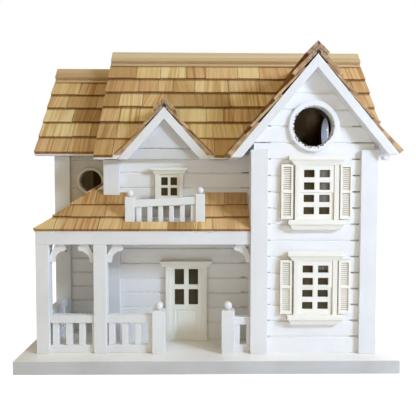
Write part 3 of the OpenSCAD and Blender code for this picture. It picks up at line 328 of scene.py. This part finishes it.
def planed_wood(name, dark, light, along, fine_scale, roughness=0.6, glow=0.0):
    """Bare planed wood with its grain along one axis; glow stands for light that leaks into a dark room."""
    finish = Finish(name, roughness)
    stretch = [fine_scale] * 3
    stretch["xyz".index(along)] = fine_scale * 0.012
    broad = [s * 0.14 for s in stretch]
    fine = finish.noise(finish.object_coords(stretch), detail=3.0)
    bands = finish.noise(finish.object_coords(broad), detail=2.0, distortion=0.4)
    wood = finish.mix(finish.fade(bands, 0.35, 0.65), dark, light)
    lines = finish.ramp(fine, [(0.35, (0.84, 0.80, 0.74)), (0.65, (1, 1, 1))])
    wood = finish.mix(0.6, wood, lines, "MULTIPLY")
    finish.colour(wood)
    if glow:
        finish.link(wood, finish.shader.inputs["Emission Color"])
        finish.shader.inputs["Emission Strength"].default_value = glow
    finish.bump(fine, 0.2, 0.3 * MM)
    return finish.material


def moulded(name, colour, shade, shaded_behind=None):
    """Injection-moulded plastic with a fine skin texture; behind a given plane of y it gets browner: painted
    shade in recesses.
    """
    finish = Finish(name, 0.38)
    cloud = finish.noise(finish.object_coords((90, 90, 90)), detail=3.0)
    skin = finish.noise(finish.object_coords((2400, 2400, 2400)), detail=1.0)
    tone = finish.mix(cloud, colour, shade)
    if shaded_behind is not None:
        depth = finish.math("MULTIPLY", finish.place((0, -shaded_behind, 0))["Y"], 500)
        tone = finish.mix(finish.fade(depth, 0.45, 1.0), tone, (0.56, 0.48, 0.34))
    finish.colour(tone)
    finish.shader.inputs["Subsurface Weight"].default_value = 0.08
    finish.shader.inputs["Subsurface Radius"].default_value = (0.002, 0.0018, 0.0014)
    finish.bump(skin, 0.06, 0.2 * MM)
    return finish.material


def dark_pane(windows):
    """Thin dark panes; inside the windows (left, low, right, high) they carry grey streaks of painted
    reflection.
    """
    finish = Finish("dark_pane", 0.28)
    finish.shader.inputs["Specular IOR Level"].default_value = 0.25
    cloud = finish.noise(finish.object_coords((70, 70, 50)), detail=4.0, roughness=0.6)
    glass = finish.ramp(cloud, [(0.35, (0.040, 0.028, 0.008)), (0.70, (0.075, 0.058, 0.026))])
    streaks = finish.noise(finish.object_coords((700, 700, 30)), detail=3.0, roughness=0.6)
    # Grey streaks: painted reflection
    reflection = finish.ramp(streaks, [(0.3, (0.07, 0.062, 0.05)), (0.7, (0.24, 0.225, 0.20))])
    place = finish.place()
    for left, low, right, high in windows:
        inside = 1.0
        for axis, a, b in (("X", left, right), ("Z", low, high)):
            inside = finish.math("MULTIPLY", finish.math("GREATER_THAN", place[axis], a), inside)
            inside = finish.math("MULTIPLY", finish.math("LESS_THAN", place[axis], b), inside)
        glass = finish.mix(inside, glass, reflection)
    finish.colour(glass)
    return finish.material


def screw_steel():
    """Rubbed bare steel."""
    finish = Finish("screw_steel", 0.35)
    rub = finish.noise(finish.object_coords((900, 900, 900)), detail=3.0)
    finish.shader.inputs["Metallic"].default_value = 1.0
    finish.colour(finish.mix(rub, (0.55, 0.55, 0.56), (0.72, 0.72, 0.73)))
    return finish.material


# Brush marks are long along a board and fine across it
BRUSHED = {axis: tuple(14 if a == axis else 420 for a in "xyz") for axis in "xyz"}
WALL_WHITE, WALL_SHADE = (0.90, 0.91, 0.935), (0.87, 0.875, 0.89)
IVORY, IVORY_SHADE = (0.93, 0.915, 0.86), (0.90, 0.885, 0.825)
BARE_DARK, BARE_LIGHT = (0.32, 0.22, 0.10), (0.46, 0.33, 0.17)


def white_paint(name, colour, shade):
    """The same white along each axis, for boards that run that way."""
    return {axis: painted(name + axis, colour, shade, BRUSHED[axis]) for axis in "xyz"}


# Walls and trim share one real paint; the walls take a lighter copy and the trim a darker one, painted light
# and painted shade for how light falls on them
PAINT = white_paint("white_paint_", (0.83, 0.84, 0.865), (0.78, 0.785, 0.80))
WALL = white_paint("wall_paint_", WALL_WHITE, WALL_SHADE)
BASE_PAINT = painted("base_paint", (0.90, 0.895, 0.88), (0.84, 0.83, 0.80), BRUSHED["x"], roughness=0.34)
# Painted shade: the base's sides and underside are a darker grey than its top
BASE_SIDE_SHADE = painted("base_side_painted_shade", (0.62, 0.625, 0.64), (0.54, 0.54, 0.54), (10, 420, 420))
EDGE = worn_edge("rubbed_edge", (0.85, 0.85, 0.84), (0.66, 0.56, 0.36), 0.02)
RAW_EDGE = worn_edge("raw_wood_edge", (0.83, 0.82, 0.77), (0.68, 0.56, 0.30), 0.16)
# Painted shade: the inside of the right wall's round hole is a darker grey-blue
BORE_SHADE = painted("bore_painted_shade", (0.47, 0.49, 0.54), (0.30, 0.30, 0.32), BRUSHED["x"])
INSIDE = planed_wood("bare_inside", BARE_DARK, BARE_LIGHT, "z", 300, 0.8)
# The wing's bare inside glows faintly: painted light for the light that leaks in
WING_INSIDE_GLOW = planed_wood("wing_inside_glow", BARE_DARK, BARE_LIGHT, "z", 300, 0.8, glow=0.07)
# Painted shade: the wing's ring is a darker, warmer white than the walls
WING_RING_SHADED = painted("wing_ring_painted_shade", (0.68, 0.665, 0.62), (0.62, 0.60, 0.55), BRUSHED["x"])
# Painted shade: the dormer's face is a darker white than the walls
DORMER_SHADED = painted("dormer_painted_shade", (0.68, 0.69, 0.715), (0.65, 0.655, 0.67), BRUSHED["x"])
SHINGLE = sawn_shingle("sawn_shingle", False)
# Shingle ends: darker end grain together with painted shade
SHINGLE_CUT_SHADED = sawn_shingle("shingle_cut_end_and_shade", True)
MAIN_CAP = planed_wood("main_ridge_wood", (0.59, 0.44, 0.245), (0.72, 0.585, 0.38), "x", 500)
WING_CAP = planed_wood("wing_ridge_wood", (0.50, 0.33, 0.16), (0.66, 0.47, 0.27), "x", 500)
PLASTIC = moulded("ivory_plastic", IVORY, IVORY_SHADE)
# Painted shade for the narrow plastic sides that face away from the light
PLASTIC_SHADED_SIDE = moulded("ivory_plastic_shaded_side", (0.74, 0.60, 0.34), (0.64, 0.51, 0.29))
# The louvres turn browner towards their back: painted shade between the slats
LOUVRES = moulded("ivory_louvres", IVORY, IVORY_SHADE, shaded_behind=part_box("shutters")[0][1])
STEEL = screw_steel()

# The panes with painted reflection are in the right-hand column: most of the upper window's and the top one
# of the lower window
SASH_LOW, SASH_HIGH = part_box("tower_window_sashes")
PANES_LEFT = (SASH_LOW[0] + SASH_HIGH[0]) / 2
PANES_RIGHT = PANES_LEFT + 20 * MM
UPPER_REFLECTION = 41 * MM
LOWER_REFLECTION = (44 * MM, 58 * MM)
PANE = dark_pane([
    (PANES_LEFT, SASH_HIGH[2] - UPPER_REFLECTION, PANES_RIGHT, SASH_HIGH[2]),
    (PANES_LEFT, SASH_LOW[2] + LOWER_REFLECTION[0], PANES_RIGHT, SASH_LOW[2] + LOWER_REFLECTION[1]),
])

# ---------------------------------------------------------------- dressing the solids

# Edges above the first angle are rounded and above the second stay crisp; below the third a face is flat
SHARP = math.radians(25)
CREASE = math.radians(50)
NEARLY_FLAT = math.radians(0.6)
SAME_PLACE = 1e-6


def clean_copy(node):
    """The node's solids as a clean bmesh: merged corners and whole flat faces."""
    bm = bmesh.new()
    bm.from_mesh(NODES[node].data)
    for layers in (bm.loops.layers.uv, bm.loops.layers.color):
        while layers:
            layers.remove(layers[0])
    bmesh.ops.remove_doubles(bm, verts=bm.verts, dist=SAME_PLACE)
    bmesh.ops.dissolve_limit(bm, angle_limit=NEARLY_FLAT, verts=bm.verts, edges=bm.edges)
    return bm


def sharp_edges(bm):
    """The edges between two faces that meet at a clear angle."""
    return [e for e in bm.edges if len(e.link_faces) == 2 and e.calc_face_angle(0) > SHARP]


def round_edges(bm, width, segments):
    """Rounds the sharp edges and returns the new strips."""
    return bmesh.ops.bevel(bm, geom=sharp_edges(bm), offset=width, offset_type="OFFSET",
        segments=segments, profile=0.5, affect="EDGES", clamp_overlap=True, material=-1)["faces"]


def cut_across(bm, place, direction):
    """Splits the faces along a plane and keeps both sides."""
    bmesh.ops.bisect_plane(bm, geom=bm.verts[:] + bm.edges[:] + bm.faces[:], dist=SAME_PLACE,
        plane_co=place, plane_no=direction)


def finish_piece(bm, node, materials, smooth=True):
    """Makes the bmesh the visible piece of its node."""
    name = node + "_finished"
    mesh = bpy.data.meshes.new(name)
    bm.to_mesh(mesh)
    bm.free()
    for material in materials:
        mesh.materials.append(material)
    piece = bpy.data.objects.new(name, mesh)
    bpy.context.scene.collection.objects.link(piece)
    if smooth:
        mesh.shade_smooth()
        mesh.set_sharp_from_angle(angle=CREASE)
        crisp = piece.modifiers.new("crisp", "WEIGHTED_NORMAL")
        crisp.keep_sharp = True
    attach(piece, BODY_OF[node])
    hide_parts(node)


def groove_tops(bm):
    """The long faces that look down: the upper sides of the grooves between siding boards."""
    return [f for f in bm.faces if f.normal.z < -0.95 and f.calc_area() > 10 * MM * MM]


# Paint fills this share of a groove's depth; a deeper step than this is no groove
FILLED = 0.45
DEEPEST_GROOVE = 3 * MM


def fill_joints(bm):
    """Old paint has filled the grooves between the siding boards: their lower edges are set back."""
    foot = min(v.co.z for v in bm.verts)
    for face in groove_tops(bm):
        depths = [v.co.y for v in face.verts]
        front, back = min(depths), max(depths)
        if back - front < DEEPEST_GROOVE and face.calc_center_median().z > foot + 1 * MM:
            for vert in face.verts:
                if vert.co.y < (front + back) / 2:
                    vert.co.y += FILLED * (back - front)


def dress(node, materials, width, segments, inside=None, paint=None, first=None):
    """Rounds a node's edges by a width in millimetres and gives the rounded strips the second material.

    First changes the bare solids; inside and paint choose the faces of the further materials."""
    bm = clean_copy(node)
    if first:
        first(bm)
    for face in round_edges(bm, width * MM, segments):
        face.material_index = 1
    if inside:
        for face in bm.faces:
            if inside(face):
                face.material_index = 2
    if paint:
        paint(bm)
    finish_piece(bm, node, materials)


def inner_side(node, axis, sign):
    """Chooses a wall's flat inner faces: they look along an axis and lie at that end of the wall."""
    number = "xyz".index(axis)
    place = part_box(node)[1 if sign > 0 else 0][number]

    def test(face):
        off = abs(face.calc_center_median()[number] - place)
        return sign * face.normal[number] > 0.99 and off < 0.4 * MM

    return test


def mark_joints(bm):
    """Gives the strip below the top of every siding groove the joint's material."""
    below, above = 1.0 * MM, 0.4 * MM
    lines = sorted({round(f.calc_center_median().z, 4) for f in groove_tops(bm)})
    for line in lines:
        cut_across(bm, (0, 0, line - below), (0, 0, 1))
    for face in bm.faces:
        if face.normal.y < -0.2 and face.material_index != 2:
            middle = face.calc_center_median().z
            if any(line - below < middle < line + above for line in lines):
                face.material_index = 3


OPENINGS = {o["name"]: o["box_m"] for o in frame["record"]["physics"]["openings"]}
SIDE_HOLE = sum((Vector(corner) for corner in OPENINGS["side_entry_hole"]), Vector()) / 2
HOLE_REACH = 20 * MM


def mark_bore_shade(bm):
    """Marks the faces inside the round hole of the right wall for a darker grey-blue: painted shade."""
    for face in bm.faces:
        off = face.calc_center_median() - SIDE_HOLE
        if abs(face.normal.x) < 0.3 and abs(off.y) < HOLE_REACH and abs(off.z) < HOLE_REACH:
            face.material_index = 3


# Painted shade: a darker patch stands for the shadow behind the balcony and under the eaves of the wing
RAIL_LOW, RAIL_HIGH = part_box("balcony_railing")
WING_LOW, WING_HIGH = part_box("wing_front_wall")
UNDER_EAVES = 75 * MM
FRONT_PAINT = {
    "tower_front_wall": WALL["x"],
    "main_front_wall": painted("main_wall_painted_shade", WALL_WHITE, WALL_SHADE, BRUSHED["x"],
        painted_shadow=(RAIL_LOW, RAIL_HIGH, (0.50, 0.46, 0.40))),
    "wing_front_wall": painted("wing_wall_painted_shade", WALL_WHITE, WALL_SHADE, BRUSHED["x"],
        painted_shadow=((WING_LOW[0], 0, WING_HIGH[2] - UNDER_EAVES), WING_HIGH, (0.68, 0.64, 0.57))),
}
# For each front wall: how dark its joints are in the middle, how broken, and where the dark ends of dirt and
# painted shade start
JOINT_DIRT_AND_LIGHT = {
    "tower_front_wall": (0.0, 0.6, -0.70, 0.61),
    "main_front_wall": (0.2, 0.3, -0.98, 0.86),
    "wing_front_wall": (0.4, 0.2, -0.7, 0.7),
}


def dress_front(wall):
    """A front wall, with partly filled grooves and joints between its boards marked with dirt, painted shade
    and a painted highlight.
    """
    low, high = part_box(wall)
    joint = siding_joint(wall + "_joint", low[0], high[0], *JOINT_DIRT_AND_LIGHT[wall])
    dress(wall, [FRONT_PAINT[wall], EDGE, INSIDE, joint], 0.3, 2,
        inside=inner_side(wall, "y", 1), paint=mark_joints, first=fill_joints)


def dress_side(wall, axis, sign, bare=INSIDE):
    """A side or back wall, whose inner face looks along the axis; only the right wall has a bore to mark."""
    along = "y" if axis == "x" else "x"
    dress(wall, [WALL[along], EDGE, bare, BORE_SHADE], 0.35, 1,
        inside=inner_side(wall, axis, sign), paint=mark_bore_shade if wall == "right_wall" else None)


# Walls: painted outside, bare inside
dress_front("tower_front_wall")
dress_side("tower_left_wall", "x", 1)
dress_side("right_wall", "x", -1)
dress_front("main_front_wall")
dress_side("main_left_wall", "x", 1)
dress_front("wing_front_wall")
dress_side("wing_left_wall", "x", 1, WING_INSIDE_GLOW)
dress_side("back_wall", "y", -1)

for node, along in (
    ("tower_corner_boards", "z"), ("main_corner_boards", "z"), ("wing_corner_boards", "z"),
    ("rear_corner_boards", "z"), ("porch_front_beam", "x"), ("porch_side_beam", "y"),
    ("porch_posts", "z"), ("left_railing", "x"), ("centre_railing", "x"), ("right_railing", "x"),
    ("side_railing", "y"), ("balcony_floor_board", "x"), ("balcony_railing", "x"),
    ("tower_cleanout_cover", "x"), ("main_cleanout_cover", "x"),
):
    dress(node, [PAINT[along], EDGE], 0.5, 2)


def raw_top(bm):
    """Yellow wood and glue show on the upper edges of a post."""
    start = max(v.co.z for v in bm.verts) - 5 * MM
    for face in bm.faces:
        top = max(v.co.z for v in face.verts)
        if face.material_index == 1 and top > start and face.normal.z > 0.05:
            face.material_index = 2


for node in ("newel_posts", "balcony_posts", "porch_brackets"):
    dress(node, [PAINT["z"], EDGE, RAW_EDGE], 0.5, 2, paint=raw_top)
dress("ball_finials", [PAINT["z"], EDGE], 0.1, 1)
dress("wing_entry_ring", [WING_RING_SHADED, WING_RING_SHADED], 0.5, 2)

# The tower's ring has lost flakes of paint round the hole
ENTRY_RADIUS = 19.05 * MM
ring_middle = sum((Vector(corner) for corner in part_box("tower_entry_ring")), Vector()) / 2
RING = chipped_ring((ring_middle.x, ring_middle.z), ENTRY_RADIUS)
dress("tower_entry_ring", [RING, RING], 0.5, 2)

face_low, face_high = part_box("dormer_face")
CRACK = siding_joint("dormer_crack", face_low[0], face_high[0], 0.4, 0.0, -1, 1, (0.69, 0.69, 0.71))
# The dormer's face and its crack take a darker white: painted shade
dress("dormer_face", [DORMER_SHADED, EDGE, INSIDE, CRACK], 0.3, 1, paint=mark_joints)
# Faces of the base that don't look up take the darker grey of painted shade
dress("base_board", [BASE_PAINT, EDGE, BASE_SIDE_SHADE], 0.9, 3, inside=lambda face: face.normal.z < 0.5)


HOUSE_LOW = Vector(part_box("main_left_wall")[0])
HOUSE_HIGH = Vector(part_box("right_wall")[1])


def in_house(face):
    """Faces of the roof boards that look down into the house."""
    centre = face.calc_center_median()
    return face.normal.z < -0.2 and HOUSE_LOW.x < centre.x < HOUSE_HIGH.x and centre.y < HOUSE_HIGH.y


# Roof boards: painted, but bare where the main ones cover the rooms
for node, along in (
    ("main_front_deck", "x"), ("main_back_deck", "x"), ("wing_front_deck", "x"), ("wing_back_deck", "x"),
    ("tower_left_deck", "y"), ("tower_right_deck", "y"), ("dormer_left_deck", "y"),
    ("dormer_right_deck", "y"), ("porch_front_deck", "x"), ("porch_side_deck", "y"),
):
    bm = clean_copy(node)
    over_rooms = node.startswith("main")
    if over_rooms:
        cut_across(bm, (0, HOUSE_HIGH.y, 0), (0, 1, 0))
        cut_across(bm, (HOUSE_HIGH.x, 0, 0), (1, 0, 0))
        cut_across(bm, (HOUSE_LOW.x, 0, 0), (1, 0, 0))
    for face in round_edges(bm, 0.4 * MM, 2):
        face.material_index = 1
    for face in bm.faces:
        if over_rooms and in_house(face):
            face.material_index = 2
    finish_piece(bm, node, [PAINT[along], EDGE, INSIDE])


def islands(bm):
    """The separate solids of a bmesh, each as a list of vertices."""
    left = set(bm.verts)
    while left:
        start = next(iter(left))
        left.discard(start)
        group, rim = [start], [start]
        while rim:
            for edge in rim.pop().link_edges:
                for vert in edge.verts:
                    if vert in left:
                        left.discard(vert)
                        group.append(vert)
                        rim.append(vert)
        yield group


# Shingles that start this close lie in one course, and the highest course shows this much
SAME_COURSE = 3 * MM
LAST_EXPOSURE = 60 * MM


def centre_of(group):
    """The middle of a solid's corners, to a hundredth of a millimetre."""
    return tuple(round(c, 5) for c in sum((v.co for v in group), Vector()) / len(group))


def course_starts(lows):
    """Where a slope's courses start, from the lower ends of its shingles; cut shingles don't count."""
    lines = []
    for low in sorted(lows):
        if lines and low - lines[-1][0] < SAME_COURSE:
            lines[-1].append(low)
        else:
            lines.append([low])
    most = max(len(line) for line in lines)
    return [line[0] for line in lines if 2 * len(line) > most or most < 4]


def shingle_piece(node, seed, darker, end):
    """Gives every shingle its own tint, figure and slightly slanted grain; end is for the gable's front."""
    bm = clean_copy(node)
    grain = bm.verts.layers.float_vector.new("grain")
    tint = bm.verts.layers.float.new("tint")
    figure = bm.verts.layers.float.new("figure")
    rise = bm.verts.layers.float.new("rise")
    draw = random.Random(seed)
    butts, slopes, laid = set(), {}, []
    for group in sorted(islands(bm), key=centre_of):
        faces = {f for v in group for f in v.link_faces}
        normal = max(faces, key=lambda f: f.calc_area() if f.normal.z > 0.3 else 0).normal.copy()
        across = Vector((0, 0, 1)).cross(normal).normalized()
        uphill = normal.cross(across).normalized()
        low = min(v.co.dot(uphill) for v in group)
        slope = tuple(round(c, 1) for c in normal)
        slopes.setdefault(slope, []).append(low)
        laid.append((group, faces, across, uphill, low, slope))
    courses = {slope: course_starts(lows) for slope, lows in slopes.items()}
    for group, faces, across, uphill, low, slope in laid:
        start = max((c for c in courses[slope] if c < low + SAME_COURSE), default=low)
        exposure = min((c - start for c in courses[slope] if c > start), default=LAST_EXPOSURE)
        colour, strength, shift = draw.random(), draw.random(), draw.uniform(0, 50)
        slant = math.radians(draw.gauss(0, 4))
        along = uphill * math.cos(slant) + across * math.sin(slant)
        side = across * math.cos(slant) - uphill * math.sin(slant)
        butts.update(face for face in faces if face.normal.dot(uphill) < -0.7)
        for vert in group:
            vert[grain] = Vector((vert.co.dot(side), vert.co.dot(along), shift))
            vert[tint] = max(0.0, colour * 0.999 - darker)
            vert[figure] = 0.15 + 0.85 * strength
            vert[rise] = (vert.co.dot(uphill) - start) / exposure
    for face in butts:
        face.material_index = 1
    materials = [SHINGLE, SHINGLE_CUT_SHADED]
    if end:
        materials.append(end)
        front = min(v.co.y for v in bm.verts)
        for face in bm.faces:
            if face.normal.y < -0.9 and face.calc_center_median().y < front + 6 * MM:
                face.material_index = 2
    round_edges(bm, 0.22 * MM, 1)
    finish_piece(bm, node, materials, smooth=False)


def gable_end(name):
    """End grain around the apex of a gable's roof boards."""
    high = Vector(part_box(name + "_left_deck")[1])
    return end_grain(name + "_end_grain", (high.x + 0.4 * MM, high.z + 0.6 * MM))


for node, seed, darker, end in (
    ("main_front_shingles", 31, 0.0, None), ("main_back_shingles", 32, 0.0, None),
    ("wing_shingles", 33, 0.0, None), ("tower_shingles", 34, 0.0, gable_end("tower")),
    ("dormer_shingles", 35, 0.0, gable_end("dormer")), ("porch_shingles", 36, 0.05, None),
):
    shingle_piece(node, seed, darker, end)

dress("main_ridge_cap", [MAIN_CAP, MAIN_CAP], 0.7, 2)
dress("wing_ridge_cap", [WING_CAP, WING_CAP], 0.7, 2)


def shade_left(bm):
    """The narrow sides that face away from the light take a darker, warmer tan: painted shade, tinted like
    light that comes through the plastic.
    """
    for face in bm.faces:
        if face.normal.x < -0.8:
            face.material_index = 2


dress("shutters", [LOUVRES, LOUVRES, PLASTIC_SHADED_SIDE], 0.2, 1, paint=shade_left)
for node in ("tower_window_frames", "tower_window_sashes"):
    dress(node, [PLASTIC, PLASTIC, PLASTIC_SHADED_SIDE], 0.2, 1, paint=shade_left)
for node in ("door_casing", "door_leaf", "attic_window_frame", "attic_window_sash"):
    dress(node, [PLASTIC, PLASTIC], 0.2, 1)
dress("glazing", [PANE, PANE], 0.1, 1)
dress("cleanout_screws", [STEEL, STEEL], 0.12, 1)
for node in ("tower_nest_floor", "nest_floor_cleats"):
    dress(node, [INSIDE, INSIDE], 0.3, 1)

# ---------------------------------------------------------------- stage and light


def make_floor():
    """White paper under the house that keeps a faint contact shadow."""
    bm = bmesh.new()
    bmesh.ops.create_grid(bm, x_segments=1, y_segments=1, size=6.0)
    bmesh.ops.translate(bm, verts=bm.verts, vec=(0, 0, -0.2 * MM))
    mesh = bpy.data.meshes.new("floor")
    bm.to_mesh(mesh)
    bm.free()
    floor = bpy.data.objects.new("floor", mesh)
    bpy.context.scene.collection.objects.link(floor)
    finish = Finish("floor_paper", 0.9)
    finish.shader.inputs["Base Color"].default_value = (0.85, 0.85, 0.85, 1)
    glow = finish.node("ShaderNodeEmission")
    glow.inputs["Strength"].default_value = 1.7
    blend = finish.node("ShaderNodeMixShader")
    path = finish.node("ShaderNodeLightPath")
    seen = finish.math("MULTIPLY", path.outputs["Is Camera Ray"], 0.55)
    finish.link(seen, blend.inputs[0])
    finish.link(finish.shader.outputs[0], blend.inputs[1])
    finish.link(glow.outputs[0], blend.inputs[2])
    output = finish.tree.nodes["Material Output"]
    finish.link(blend.outputs[0], output.inputs["Surface"])
    mesh.materials.append(finish.material)


def make_world(colour, strength):
    """Soft light from all sides, in front of a white background."""
    world = bpy.data.worlds.new("studio")
    bpy.context.scene.world = world
    world.use_nodes = True
    tree = world.node_tree
    tree.nodes.clear()
    path = tree.nodes.new("ShaderNodeLightPath")
    lit = tree.nodes.new("ShaderNodeBackground")
    lit.inputs["Color"].default_value = (*colour, 1)
    lit.inputs["Strength"].default_value = strength
    white = tree.nodes.new("ShaderNodeBackground")
    white.inputs["Color"].default_value = (1, 1, 1, 1)
    white.inputs["Strength"].default_value = 1.0
    either = tree.nodes.new("ShaderNodeMath")
    either.operation = "MAXIMUM"
    tree.links.new(path.outputs["Is Camera Ray"], either.inputs[0])
    tree.links.new(path.outputs["Is Transmission Ray"], either.inputs[1])
    blend = tree.nodes.new("ShaderNodeMixShader")
    tree.links.new(either.outputs[0], blend.inputs[0])
    tree.links.new(lit.outputs[0], blend.inputs[1])
    tree.links.new(white.outputs[0], blend.inputs[2])
    output = tree.nodes.new("ShaderNodeOutputWorld")
    tree.links.new(blend.outputs[0], output.inputs["Surface"])


def softbox(name, azimuth, elevation, distance, size, watts, colour):
    """An area light aimed at the house; azimuth 0 is in front, positive is to the right."""
    a, e = math.radians(azimuth), math.radians(elevation)
    aim = Vector((0, 0, 150 * MM))
    away = Vector((math.sin(a) * math.cos(e), -math.cos(a) * math.cos(e), math.sin(e)))
    data = bpy.data.lights.new(name, "AREA")
    data.shape = "RECTANGLE"
    data.size, data.size_y = size
    data.energy = watts
    data.color = colour
    light = bpy.data.objects.new(name, data)
    bpy.context.scene.collection.objects.link(light)
    light.location = aim + away * distance
    light.rotation_euler = away.to_track_quat("Z", "Y").to_euler()


# Two small lights from the right cast the shadows; the large ones fill them
make_floor()
make_world((1.0, 0.94, 0.79), 0.305)
softbox("near_key", 55, 20, 0.95, (0.13, 0.13), 2.3, (0.74, 0.66, 1.0))
softbox("far_key", 48, 24, 1.5, (0.22, 0.22), 11.7, (0.63, 0.85, 1.0))
softbox("top", 0, 68, 2.8, (1.8, 1.8), 16.5, (1.0, 0.86, 0.52))
softbox("back", 165, 30, 1.8, (1.2, 1.2), 9, (1.0, 0.97, 0.93))
softbox("front", -15, 8, 1.4, (0.8, 0.8), 1.4, (1.0, 0.65, 0.25))

bpy.context.scene.view_settings.view_transform = "Standard"
